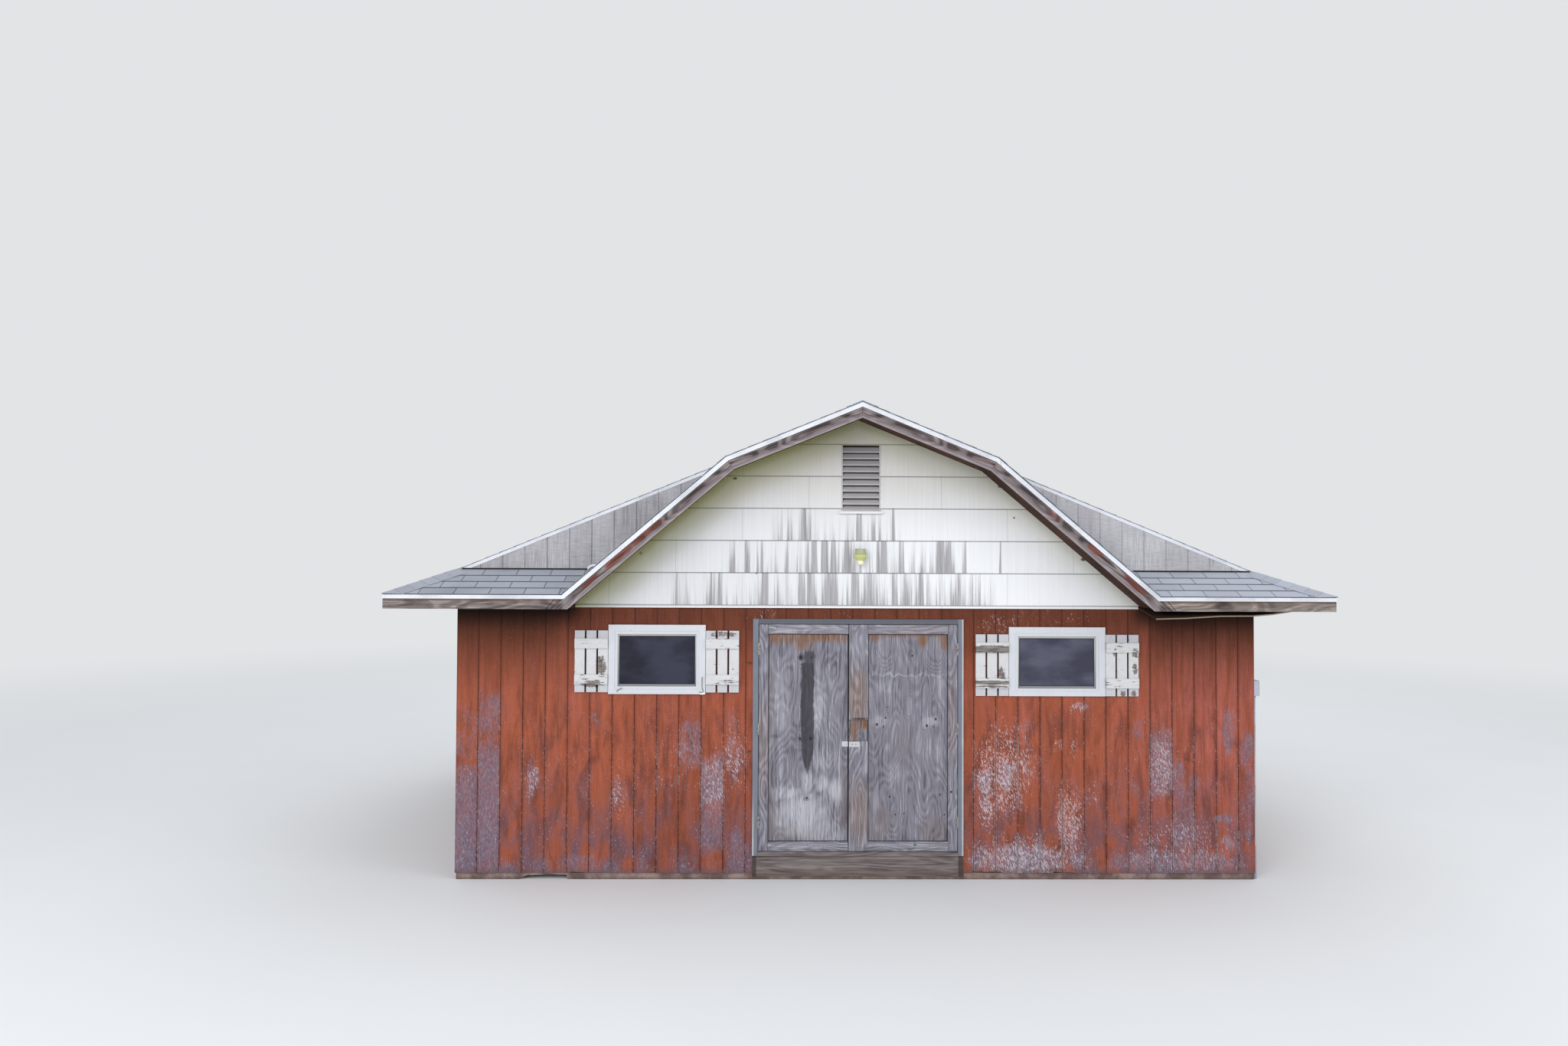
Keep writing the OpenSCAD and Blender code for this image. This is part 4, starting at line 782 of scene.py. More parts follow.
def shingle_finish(looks):
    """Mineral-faced shingles: one tone a tab, coarse grit, a dark line at each butt, and painted shade in the
    slots and below each butt.
    """
    f = Finish("asphalt_shingles")
    tone = f.term("ShaderNodeAttribute", output="Fac", attribute_name="tab_tone")
    slot_x, butt_y, known = f.split(f.term("ShaderNodeAttribute", output="Vector", attribute_name="tab_place"))
    grit = f.cells(f.place, 520)
    speck = f.noise(f.place, 2, 0.6, 0, 330)
    cloud = f.noise(f.place, 3, 0.5, 0, 1.3)
    # painted light: a sheen that lightens the shingles towards the front right
    painted_light = f.fade(f.x, 1.8, 2.6) * f.fade(f.y, -2.3, -2.9) * 0.22
    value = 0.74 + tone * 0.17 + speck * 0.24 + cloud * 0.2 - grit * 0.1 + painted_light
    colour = f.shade(looks.grit, value)
    colour = f.mix(f.fade(cloud, 0.52, 0.7) * 0.28, colour, paint(96, 98, 100))
    # painted shade under the butt of the course above and along the slots, and a dark line along each butt
    edge = f.most(f.fade(butt_y, 0.06, 0.015), f.fade(butt_y, 0.88, 1.0, 0.55),
                  f.fade(abs(slot_x), 0.482, 0.491, 0.55))
    colour = f.mix(edge * known * 0.8, colour, paint(46, 47, 52))
    return f.done(colour, 0.93, f.relief(speck * 0.6 + grit * 0.6, 0.001))


def fascia_finish(name, mapped):
    """Brown-grey weathered trim with remains of red stain. A mapped board follows its own UV map."""
    f = Finish(name)
    if mapped:
        u, side, _ = f.split(f.term("ShaderNodeUVMap", uv_map="along"))
        red_share = 0.12 + f.spots(f.x, f.z, RAKE_RED)
    else:
        facing = abs(f.split(f.term("ShaderNodeNewGeometry", output="Normal"))[0])
        on_side = f.over(facing, 0.6)
        u, side = f.pick(on_side, f.x, f.y), f.z
        red_share = 0.05 + f.spots(f.x, f.z, EAVE_RED)
    fibre = f.noise(f.grid(side, 230, u, 6, 1.0), 4, 0.6)
    streak = f.noise(f.grid(side, 42, u, 2.2, 2.0), 4, 0.62, 0.5)
    line = rings(f, side, u, 5.0, 9, 7.0, 1.6)
    cloud = f.noise(f.grid(side, 8, u, 1.9, 7.0), 4, 0.6)
    value = 0.48 + (line - 0.5) * 0.34 + (streak - 0.5) * 1.1 + (fibre - 0.5) * 0.8 + (cloud - 0.5) * 0.5
    colour = f.mix(f.fade(value, 0.12, 0.46), paint(54, 45, 44), paint(104, 94, 95))
    colour = f.mix(f.fade(value, 0.5, 0.86), colour, paint(158, 148, 143))
    remains = cloud * 0.62 + streak * 0.42 + red_share * 0.62
    if mapped:
        waver = side + (cloud - 0.5) * 0.05
        low_edge = f.fade(waver, 0.024, 0.002)
        upper = f.fade(waver, 0.026, 0.044) * f.fade(waver, 0.088, 0.074)
        remains = remains + upper * 0.3 - low_edge * 0.5 - 0.1
        colour = f.mix(f.fade(waver, 0.045, 0.03) * 0.38, colour, paint(142, 134, 142))
        colour = f.mix(low_edge * 0.45, colour, paint(170, 160, 156))
        colour = f.mix(f.fade(side, 0.078, 0.09, 0.6), colour, paint(58, 48, 48))
    red = f.fade(remains, 0.84, 1.02) * 0.82
    colour = f.mix(red, colour, f.shade(paint(112, 64, 55), 0.5 + value * 0.9))
    if not mapped:
        bleached = f.shade(paint(160, 152, 138), 0.7 + fibre * 0.5)
        colour = f.mix(0.14 + f.fade(f.x, -1.0, 1.0, 0.16), f.shade(colour, 1.12), bleached)
        colour = f.mix(f.fade(f.z, EAVE_Z - 0.062, EAVE_Z - 0.04, 0.7), colour, paint(92, 66, 50))
        rot = f.spots(f.x, f.z, EAVE_ROT)
        colour = f.mix(rot * 0.8, colour, paint(42, 34, 32))
        lean = abs(f.x) + f.z * 0.83
        crack = f.most(f.fade(abs(lean - 4.812), 0.005, 0.002), f.fade(abs(lean - 4.735), 0.004, 0.0015))
        colour = f.mix(crack * f.fade(f.y, EAVE_Y + 0.004, EAVE_Y + 0.001), colour, paint(26, 20, 18))
    return f.done(colour, 0.86, f.relief(line * 0.3 + fibre * 0.4 + streak * 0.3, 0.0018))


def drip_finish():
    """White coated sheet metal with grime in streaks and a few rusty nicks."""
    f = Finish("white_drip_metal")
    cloud = f.noise(f.place, 4, 0.55, 0, 3)
    fleck = f.noise(f.place, 3, 0.6, 0, 55)
    colour = f.mix(f.fade(cloud, 0.4, 0.66, 0.62), paint(214, 217, 224), paint(176, 178, 186))
    colour = f.mix(f.fade(fleck, 0.7, 0.78, 0.7), colour, paint(140, 112, 92))
    seam = abs(f.fraction((f.x + 0.31) / 3.05) - 0.5)
    colour = f.mix(f.fade(seam, 0.001, 0.0004, 0.7), colour, paint(92, 92, 96))
    return f.done(colour, 0.36 + cloud * 0.2, f.relief(cloud, 0.0012), shine=0.5)


def painted_finish(name, colour_value, wear_colour, wear):
    """Brushed paint on wood, worn through in flecks: fewer of them where wear is higher."""
    f = Finish(name)
    brush = f.noise(f.grid(f.x, 90, f.z, 5, 1.0), 4, 0.6)
    cloud = f.noise(f.place, 4, 0.55, 0, 4)
    fleck = f.noise(f.grid(f.x, 46, f.z, 20, 4.0), 4, 0.62)
    worn = f.fade(fleck * 0.7 + cloud * 0.3, wear, wear + 0.05)
    colour = f.shade(colour_value, 0.86 + brush * 0.14 + cloud * 0.12)
    colour = f.mix(worn * 0.85, colour, wear_colour)
    return f.done(colour, 0.52 + worn * 0.3, f.relief(brush * 0.5 - worn * 0.6, 0.0009))


def frame_finish(looks):
    """Blue-grey paint of the door frame, chalky and pale along its outer right edge and at its left foot, with
    painted shade along its inner edge.
    """
    f = Finish("blue_grey_frame")
    low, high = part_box("door_frame")
    brush = f.noise(f.grid(f.x, 120, f.z, 5, 1.0), 4, 0.62)
    cloud = f.noise(f.place, 4, 0.6, 0, 5)
    chip = f.noise(f.grid(f.x, 60, f.z, 22, 4.0), 4, 0.64)
    colour = f.shade(looks.frame, 0.66 + brush * 0.32 + cloud * 0.36)
    worn = f.fade(chip * 0.7 + cloud * 0.3, 0.62, 0.68)
    colour = f.mix(worn * 0.7, colour, paint(96, 88, 86))
    edge = f.most(f.fade(f.x, high.x - 0.016, high.x - 0.009),
                  f.fade(f.x, low.x + 0.016, low.x + 0.009) * f.fade(f.z, 0.9, 0.3))
    colour = f.mix(edge * (0.35 + cloud * 0.8), colour, paint(196, 194, 196))
    # painted shade along the inner edge, where the frame meets the leaves
    inner = f.fade(abs(f.x + -(low.x + high.x) / 2), (high.x - low.x) / 2 - 0.046, (high.x - low.x) / 2 - 0.05,
                   0.55)
    colour = f.mix(inner, colour, paint(66, 66, 74))
    return f.done(colour, 0.55 + worn * 0.3, f.relief(brush * 0.5 - worn * 0.6, 0.0009))


def shutter_finish(name, node, bare_spots):
    """White shutter boards with chipped paint, worst where bare_spots lie."""
    f = Finish(name)
    batten = f.fade(f.y - FRONT_Y, -0.0185, -0.0195)
    grain_up = f.noise(f.grid(f.x, 130, f.z, 7, 1.0), 4, 0.62)
    grain_flat = f.noise(f.grid(f.z, 130, f.x, 7, 3.0), 4, 0.62)
    chip_up = f.noise(f.grid(f.x, 55, f.z, 16, 2.0), 4, 0.62)
    chip_flat = f.noise(f.grid(f.z, 66, f.x, 9, 5.0), 4, 0.62)
    grain, chip = f.pick(batten, grain_up, grain_flat), f.pick(batten, chip_up, chip_flat)
    bias = f.spots(f.x, f.z, bare_spots) * 0.3 + f.noise(f.place, 3, 0.6, 0, 9) * 0.24 - 0.035
    bare = f.fade(chip + bias, 0.68, 0.74)
    colour = f.shade(paint(204, 204, 206), 0.72 + grain * 0.38 + f.noise(f.place, 3, 0.6, 0, 13) * 0.16)
    middle = (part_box(node)[0].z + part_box(node)[1].z) / 2
    ends = f.fade(abs(f.z - middle), 0.185, 0.235) * f.fade(grain, 0.3, 0.62) * 0.5
    colour = f.mix(ends, colour, paint(158, 154, 168))
    wood = f.mix(f.fade(grain, 0.38, 0.62), paint(58, 52, 52), paint(140, 130, 122))
    colour = f.mix(bare * 0.92, colour, wood)
    return f.done(colour, 0.55 + bare * 0.3, f.relief(grain * 0.5 - bare * 0.8, 0.0012))


def screen_finish(name, shift, low, high):
    """Fine insect screen over dark glass, in its own narrow grey frame."""
    f = Finish(name)
    near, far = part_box(name)
    inset = f.least(f.x - (near.x + 0.012), far.x - 0.012 - f.x)
    inset = f.least(inset, f.z - (near.z + 0.019), far.z - 0.017 - f.z)
    haze = f.noise(f.grid(f.x, 2.6, f.z, 5, shift), 3)
    mesh_x = f.wave(f.x * (math.tau / 0.0016))
    mesh_z = f.wave(f.z * (math.tau / 0.0016))
    weave = f.fade(f.most(mesh_x, mesh_z), 0.0, 0.9)
    colour = f.mix(f.fade(haze, 0.36, 0.66), low, high)
    speck = f.noise(f.grid(f.x, 150, f.z, 150, shift + 2), 2, 0.7)
    colour = f.shade(colour, 0.62 + weave * 0.28 + speck * 0.42)
    colour = f.mix(f.fade(inset, 0.016, 0.001, 0.5), colour, paint(34, 34, 42))
    edge = f.mix(f.fade(f.z, near.z + 0.04, far.z - 0.04), paint(146, 148, 148), paint(196, 196, 186))
    colour = f.mix(f.fade(inset, 0.001, -0.001), colour, edge)
    return f.done(colour, 0.62, f.relief(weave, 0.0004))


def concrete_finish():
    """Rough pinkish-grey base with grit and damp stains."""
    f = Finish("rough_concrete")
    grit = f.noise(f.place, 5, 0.65, 0, 60)
    cloud = f.noise(f.place, 4, 0.55, 0, 5)
    pit = f.fade(f.cells(f.place, 45), 0.22, 0.1)
    colour = f.mix(f.fade(cloud, 0.36, 0.66), paint(104, 86, 83), paint(154, 134, 129))
    colour = f.shade(colour, 0.7 + grit * 0.5)
    colour = f.mix(f.fade(f.z, 0.03, 0.0, 0.5), colour, paint(72, 64, 56))
    return f.done(colour, 0.93, f.relief(grit - pit * 0.8, 0.004))


def lumber_finish(name, tint, plank=0.0):
    """Sawn softwood with its grain along the longest side, and planks when a plank width is given."""
    f = Finish(name)
    swirl = f.noise(f.place, 4, 0.6, 1.2, 3)
    fibre = f.noise(f.join(f.x * 60, f.y * 60, f.z * 6), 4, 0.6)
    across = f.noise(f.join(f.x * 6, f.y * 60, f.z * 60), 4, 0.6)
    value = 0.62 + swirl * 0.25 + fibre * 0.22 + across * 0.18
    colour = f.shade(tint, value)
    if plank:
        row = f.y / plank
        edge = f.fade(abs(f.fraction(row) - 0.5), 0.488, 0.496)
        colour = f.shade(colour, 0.86 + f.chance(math.floor(row), 1.0) * 0.22)
        colour = f.mix(edge * 0.8, colour, paint(46, 34, 24))
    return f.done(colour, 0.82, f.relief(fibre, 0.001))


def metal_finish(name, bright, rust, rusty, roughness):
    """Old steel: dull metal with rust in patches."""
    f = Finish(name)
    cloud = f.noise(f.place, 5, 0.65, 0, 38)
    fine = f.noise(f.place, 3, 0.6, 0, 240)
    share = f.fade(cloud * 0.75 + fine * 0.25, rusty, rusty + 0.1)
    colour = f.mix(share, f.shade(bright, 0.8 + fine * 0.36), rust)
    metallic = (1.0 - share) * 0.75
    return f.done(colour, roughness + share * 0.4, f.relief(fine + share, 0.0006), metallic, 0.5)


def sill_finish():
    """Board under the doorway: brown-grey, with painted shade at its ends and mud at its foot."""
    f = Finish("weathered_sill")
    fibre = f.noise(f.grid(f.z, 200, f.x, 4, 1.0), 4, 0.6)
    streak = f.noise(f.grid(f.z, 30, f.x, 1.6, 2.0), 4, 0.6, 0.4)
    line = rings(f, f.z, f.x, 3.0, 9, 8.0, 1.1)
    value = line * 0.1 + streak * 0.7 + fibre * 0.5
    colour = f.mix(f.fade(value, 0.38, 0.92), paint(72, 65, 64), paint(142, 131, 130))
    damp = f.fade(f.z, 0.11, 0.03) * f.fade(streak, 0.3, 0.6) * 0.6
    colour = f.mix(damp, colour, paint(86, 66, 44))
    # painted shade in the dark holes at the ends of the sill
    gap = f.most(f.fade(f.x, 0.924, 0.93), f.fade(f.x, -0.916, -0.922))
    colour = f.mix(gap * 0.8, colour, paint(62, 54, 50))
    return f.done(colour, 0.88, f.relief(line * 0.3 + fibre, 0.0014))


def soffit_finish():
    """Dark old soffit boards."""
    f = Finish("dark_soffit")
    streak = f.noise(f.join(f.x * 3, f.y * 70, f.z * 70), 4, 0.6)
    cloud = f.noise(f.place, 3, 0.5, 0, 2.5)
    colour = f.mix(f.fade(streak * 0.6 + cloud * 0.5, 0.36, 0.72), paint(44, 31, 26), paint(88, 60, 48))
    edge = f.fade(f.y, EAVE_Y + 0.024, EAVE_Y + 0.018)
    colour = f.mix(edge * 0.7, colour, paint(150, 138, 122))
    return f.done(colour, 0.86, f.relief(streak, 0.0012))


def plastic_finish():
    """Pale grey box and conduit, chalky from the sun."""
    f = Finish("grey_conduit")
    cloud = f.noise(f.place, 4, 0.6, 0, 12)
    fine = f.noise(f.place, 3, 0.6, 0, 160)
    colour = f.shade(paint(176, 178, 190), 0.84 + cloud * 0.16 + fine * 0.1)
    return f.done(colour, 0.44 + cloud * 0.25, f.relief(fine, 0.0004))


def lamp_finish(name, cap, collar, top):
    """Old enamel: grey-green rings above a yellower collar, dirty in the creases."""
    f = Finish(name)
    cloud = f.noise(f.place, 4, 0.6, 0, 42)
    fleck = f.noise(f.place, 3, 0.6, 0, 160)
    colour = f.mix(f.fade(f.z, top - 0.05, top - 0.062), cap, collar)
    colour = f.shade(colour, 0.84 + cloud * 0.32)
    colour = f.mix(f.fade(fleck, 0.62, 0.7, 0.7), colour, paint(92, 84, 58))
    return f.done(colour, 0.4 + cloud * 0.3, f.relief(cloud, 0.0008), shine=0.5)


def glass_finish():
    """Milky glass with faint ribs and dust."""
    f = Finish("lamp_glass")
    dust = f.noise(f.place, 4, 0.6, 0, 60)
    colour = f.mix(f.fade(dust, 0.45, 0.7, 0.5), paint(238, 236, 206), paint(196, 190, 160))
    return f.done(colour, 0.18 + dust * 0.3, f.relief(dust, 0.0004), shine=0.5)


def dress(material, *nodes):
    """Puts one material in every slot of the named solids."""
    for name in nodes:
        data = frame["nodes"][name].data
        if not data.materials:
            data.materials.append(material)
        for index in range(len(data.materials)):
            data.materials[index] = material


# Shape trees


class Shape(Nodes):
    """One Geometry Nodes tree. Its inputs come as (name, kind) pairs, and given holds them by name."""

    def __init__(self, name, *inputs):
        super().__init__(bpy.data.node_groups.new(name, "GeometryNodeTree"))
        for label, kind in (("Geometry", "Geometry"), *inputs, ("Material", "Material")):
            self.tree.interface.new_socket(label, in_out="INPUT", socket_type="NodeSocket" + kind)
        self.tree.interface.new_socket("Geometry", in_out="OUTPUT", socket_type="NodeSocketGeometry")
        self.given = {socket.name: Term(self, socket) for socket in self.node("NodeGroupInput").outputs}
        self.index = self.term("GeometryNodeInputIndex")

    def luck(self, low, high, seed):
        """A random number for each point."""
        feeds = {2: low, 3: high, 7: self.index, 8: seed}
        return self.term("FunctionNodeRandomValue", feeds, 1, data_type="FLOAT")

    def store(self, geometry, name, data_type, domain, value):
        """Keeps a value on the geometry under a name that a material can read."""
        feeds = {"Geometry": geometry, "Name": name, "Value": value}
        return self.term("GeometryNodeStoreNamedAttribute", feeds, data_type=data_type, domain=domain)

    def shift(self, geometry, place, turn):
        feeds = {"Geometry": geometry, "Translation": place, "Rotation": turn}
        return self.term("GeometryNodeTransform", feeds)

    def lay(self, points, tile, sway, place):
        """Puts a tile on every point, each with a tone of its own, and turns the whole into place."""
        laid = self.term("GeometryNodeInstanceOnPoints",
                         {"Points": points, "Instance": tile, "Rotation": self.join(0.0, 0.0, sway)})
        toned = self.store(laid, "tab_tone", "FLOAT", "INSTANCE", self.luck(0.0, 1.0, self.given["Seed"]))
        real = self.term("GeometryNodeRealizeInstances", {0: toned})
        return self.finish(self.shift(real, place, self.given["Turn"]))

    def finish(self, geometry):
        """Gives the result its material, and returns the tree."""
        real = self.term("GeometryNodeRealizeInstances", {0: geometry})
        coated = self.term("GeometryNodeSetMaterial", {"Geometry": real, "Material": self.given["Material"]})
        self.node("NodeGroupOutput", {0: coated})
        return self.tree


def grow(name, tree, values, material, points=()):
    """Runs a tree on an object of loose points, and returns the result as a plain mesh object."""
    seed_mesh = bpy.data.meshes.new(name + "_seed")
    seed_mesh.from_pydata([tuple(p) for p in points], [], [])
    host = bpy.data.objects.new(name + "_seed", seed_mesh)
    bpy.context.scene.collection.objects.link(host)
    modifier = host.modifiers.new(tree.name, "NODES")
    modifier.node_group = tree
    sockets = {item.name: item.identifier for item in tree.interface.items_tree
               if item.item_type == "SOCKET" and item.in_out == "INPUT"}
    for label, value in {**values, "Material": material}.items():
        modifier[sockets[label]] = value
    bpy.context.view_layer.update()
    seen = host.evaluated_get(bpy.context.evaluated_depsgraph_get())
    mesh = bpy.data.meshes.new_from_object(seen)
    host.modifiers.remove(modifier)
    bpy.data.objects.remove(host)
    mesh.name = name
    piece = bpy.data.objects.new(name, mesh)
    bpy.context.scene.collection.objects.link(piece)
    return piece


def shingle_tree():
    """Courses of shingle tabs on a slope, every second course shifted by half a tab."""
    s = Shape("shingle_courses", ("Tabs", "Int"), ("Courses", "Int"), ("First course", "Int"),
              ("Tab width", "Float"), ("Exposure", "Float"), ("Slot", "Float"), ("Thickness", "Float"),
              ("Seed", "Int"), ("Corner", "Vector"), ("Turn", "Vector"))
    g = s.given
    tab, exposure, thickness = g["Tab width"], g["Exposure"], g["Thickness"]
    row = math.floor(s.index / g["Tabs"])
    column = s.index - row * g["Tabs"]
    true_row = row + g["First course"]
    along = (column + s.calc("MODULO", true_row, 2.0) * -0.5) * tab
    up = true_row * exposure + s.luck(-0.0015, 0.0015, g["Seed"])
    place = s.join(along, up, 0.0)
    points = s.term("GeometryNodePoints", {"Count": g["Tabs"] * g["Courses"], "Position": place})
    slab = s.term("GeometryNodeMeshCube", {"Size": s.join(tab - g["Slot"], exposure * 1.16, thickness)})
    here = s.split(s.term("GeometryNodeInputPosition"))
    tab_place = s.join(here[0] / tab, here[1] / exposure + 0.58, 1.0)
    slab = s.store(slab, "tab_place", "FLOAT_VECTOR", "POINT", tab_place)
    slab = s.shift(slab, s.join(tab * 0.5, exposure * 0.58, thickness * 0.5), (0, 0, 0))
    slab = s.shift(slab, s.join(0.0, 0.0, thickness * 1.2), s.join(thickness * -1.05 / exposure, 0.0, 0.0))
    return s.lay(points, slab, s.luck(-0.004, 0.004, 5), g["Corner"])


def cap_tree():
    """A row of folded cap shingles, each lying over the one before it."""
    s = Shape("cap_row", ("Count", "Int"), ("Start", "Vector"), ("Step", "Float"), ("Wing", "Float"),
              ("Fold", "Float"), ("Thickness", "Float"), ("Turn", "Vector"), ("Seed", "Int"))
    g = s.given
    step, thickness = g["Step"], g["Thickness"]
    points = s.term("GeometryNodePoints", {"Count": g["Count"], "Position": s.join(0.0, s.index * step, 0.0)})
    length = step * 1.12
    sheet = s.term("GeometryNodeMeshGrid", {"Size X": g["Wing"] * 2.0, "Size Y": length, "Vertices X": 7,
                                            "Vertices Y": 2})
    side = s.split(s.term("GeometryNodeInputPosition"))[0]
    drop = abs(side) * -s.calc("TANGENT", g["Fold"])
    sheet = s.term("GeometryNodeSetPosition", {"Geometry": sheet, "Offset": s.join(0.0, length * 0.5, drop)})
    thick = s.term("GeometryNodeExtrudeMesh", {"Mesh": sheet, "Offset Scale": thickness, "Individual": False})
    whole = s.node("GeometryNodeJoinGeometry")
    for half in (s.term("GeometryNodeFlipFaces", {"Mesh": sheet}), thick):
        s.feed(whole.inputs[0], half)
    closed = s.term("GeometryNodeMergeByDistance", {"Geometry": whole.outputs[0], "Distance": 0.00005})
    closed = s.shift(closed, s.join(0.0, 0.0, thickness * 1.2), s.join(-thickness / step, 0.0, 0.0))
    return s.lay(points, closed, s.luck(-0.02, 0.02, g["Seed"]), g["Start"])


def nail_tree():
    """A low domed nail head on every point of the object, turned to face one way."""
    s = Shape("nail_heads", ("Radius", "Float"), ("Rise", "Float"), ("Turn", "Vector"), ("Seed", "Int"))
    g = s.given
    head = s.term("GeometryNodeMeshCone", {"Vertices": 8, "Radius Top": g["Radius"] * 0.7,
                                           "Radius Bottom": g["Radius"], "Depth": g["Rise"]})
    size = s.luck(0.8, 1.15, g["Seed"])
    return s.finish(s.term("GeometryNodeInstanceOnPoints",
                           {"Points": g["Geometry"], "Instance": head, "Rotation": g["Turn"],
                            "Scale": s.join(size, size, size)}))


def ride_barn(piece, body="barn"):
    """Fixes a made piece to a body."""
    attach(piece, body)


def merge_pieces(name, pieces):
    """Joins plain meshes into one piece, keeping their attributes."""
    with bpy.context.temp_override(active_object=pieces[0], object=pieces[0], selected_objects=pieces,
                                   selected_editable_objects=pieces):
        bpy.ops.object.join()
    pieces[0].name = name
    pieces[0].data.name = name
    return pieces[0]


def plane(point, normal):
    """A plane for trim, from plain tuples."""
    return Vector(point), Vector(normal).normalized()


def trim(piece, cuts):
    """Cuts a mesh with planes: what lies on the normal's side is dropped, and the cut is closed."""
    work = bmesh.new()
    work.from_mesh(piece.data)
    for point, normal in cuts:
        bmesh.ops.bisect_plane(work, geom=work.verts[:] + work.edges[:] + work.faces[:], plane_co=point,
                               plane_no=normal, clear_outer=True)
        open_edges = [e for e in work.edges if e.is_boundary]
        bmesh.ops.holes_fill(work, edges=open_edges, sides=12)
    work.to_mesh(piece.data)
    work.free()
    return piece


def solid(name, material, lows_highs, bevel=0.0):
    """One mesh made of plain boxes, each given by its lowest and highest corner, with softened edges."""
    work = bmesh.new()
    for low, high in lows_highs:
        made = bmesh.ops.create_cube(work, size=1.0)["verts"]
        low, high = Vector(low), Vector(high)
        for vert in made:
            vert.co = Vector((low[k] + (vert.co[k] + 0.5) * (high[k] - low[k]) for k in range(3)))
    if bevel:
        bmesh.ops.bevel(work, geom=work.edges[:], offset=bevel, segments=2, affect="EDGES")
    return as_piece(name, work, material)


def as_piece(name, work, material, smooth=False):
    """Turns a bmesh into an object with one material, with its faces outwards."""
    bmesh.ops.recalc_face_normals(work, faces=work.faces[:])
    mesh = bpy.data.meshes.new(name)
    work.to_mesh(mesh)
    work.free()
    if smooth:
        mesh.shade_smooth()
    mesh.materials.append(material)
    piece = bpy.data.objects.new(name, mesh)
    bpy.context.scene.collection.objects.link(piece)
    return piece


def wire(name, material, path, radius, sides=8):
    """A round wire along a path of points, with closed ends."""
    work = bmesh.new()
    points = [Vector(p) for p in path]
    loops = []
    for index, point in enumerate(points):
        before, after = points[max(index - 1, 0)], points[min(index + 1, len(points) - 1)]
        heading = (after - before).normalized()
        first = first - first.dot(heading) * heading if loops else heading.orthogonal()
        first.normalize()
        second = heading.cross(first)
        turns = [(math.cos(math.tau * k / sides), math.sin(math.tau * k / sides)) for k in range(sides)]
        loops.append([work.verts.new(point + radius * (a * first + b * second)) for a, b in turns])
    for low, high in zip(loops, loops[1:]):
        for k in range(sides):
            work.faces.new((low[k], low[(k + 1) % sides], high[(k + 1) % sides], high[k]))
    work.faces.new(list(reversed(loops[0])))
    work.faces.new(loops[-1])
    return as_piece(name, work, material, smooth=True)


def beam(name, material, corners_front, thickness):
    """A flat board from four corners in the plane of the front, with its grain mapped along its first edge."""
    a, b, c, d = (Vector(p) for p in corners_front)
    steps = max(2, round((b - a).length / 0.05))
    work = bmesh.new()
    uv = work.loops.layers.uv.new("along")
    rows = []
    for i in range(steps + 1):
        low, high = a.lerp(b, i / steps), d.lerp(c, i / steps)
        rows.append([work.verts.new(p + Vector((0, dy, 0))) for p, dy in
                     ((low, 0), (high, 0), (high, thickness), (low, thickness))])
    direction = (b - a).normalized()
    up = direction.cross(Vector((0, math.copysign(1, b.x - a.x), 0)))
    for first, second in zip(rows, rows[1:]):
        for k in range(4):
            work.faces.new((first[k], first[(k + 1) % 4], second[(k + 1) % 4], second[k]))
    for row in (rows[0], list(reversed(rows[-1]))):
        work.faces.new(list(reversed(row)))
    for face in work.faces:
        for loop in face.loops:
            r = loop.vert.co - a
            loop[uv].uv = (r.dot(direction), r.dot(up) + r.y * 0.7)
    return as_piece(name, work, material)


def lathe(name, profile, centre, steps, material):
    """A turned shape from (radius, height) pairs round an upright axis."""
    work = bmesh.new()
    loops = []
    for radius, height in profile:
        if radius < 1e-6:
            loops.append([work.verts.new((centre[0], centre[1], height))] * steps)
        else:
            loops.append([work.verts.new((centre[0] + radius * math.cos(math.tau * k / steps),
                                          centre[1] + radius * math.sin(math.tau * k / steps), height))
                          for k in range(steps)])
    for low, high in zip(loops, loops[1:]):
        for k in range(steps):
            corners = [low[k], low[(k + 1) % steps], high[(k + 1) % steps], high[k]]
            unique = list(dict.fromkeys(corners))
            if len(unique) > 2:
                work.faces.new(unique)
    return as_piece(name, work, material, smooth=True)


# Operators


class BARN_OT_siding(bpy.types.Operator):
    """Stains and wears the grooved siding of the four walls, with painted shade under the eaves, in and beside
    the grooves and behind the shutters
    """

    bl_idname = "barn.siding"
    bl_label = "Siding"

    def execute(self, context):
        looks = context.scene.barn_siding
        front = ("y", FRONT_Y, 1.0)
        door_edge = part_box("siding_front_left")[1].x
        dress(siding_finish("siding_front_left_wood", looks, "x", front, LEFT_GROOVE,
                            board_spots=FRONT_LEFT_BOARD_SPOTS, free_spots=FRONT_LEFT_FREE_SPOTS,
                            chalk_spots=FRONT_LEFT_CHALK_SPOTS, covered=["shutters_left"]), "siding_front_left")
        dress(siding_finish("siding_front_right_wood", looks, "x", front, RIGHT_GROOVE,
                            board_spots=FRONT_RIGHT_BOARD_SPOTS, free_spots=FRONT_RIGHT_FREE_SPOTS,
                            chalk_spots=FRONT_RIGHT_CHALK_SPOTS,
                            covered=["shutters_right"]), "siding_front_right")
        dress(siding_finish("siding_over_door_wood", looks, "x", front, door_edge + GROOVED_EDGE,
                            chalk_spots=OVER_DOOR_CHALK_SPOTS), "siding_over_door")
        dress(siding_finish("siding_left_wood", looks, "y", ("x", -WALL_X, 1.0), FRONT_Y + SIDING),
              "siding_left")
        dress(siding_finish("siding_right_wood", looks, "y", ("x", WALL_X, -1.0), FRONT_Y + SIDING),
              "siding_right")
        dress(siding_finish("siding_rear_wood", looks, "x", ("y", REAR_Y, -1.0), -WALL_X, gabled=True),
              "siding_rear")
        return {"FINISHED"}


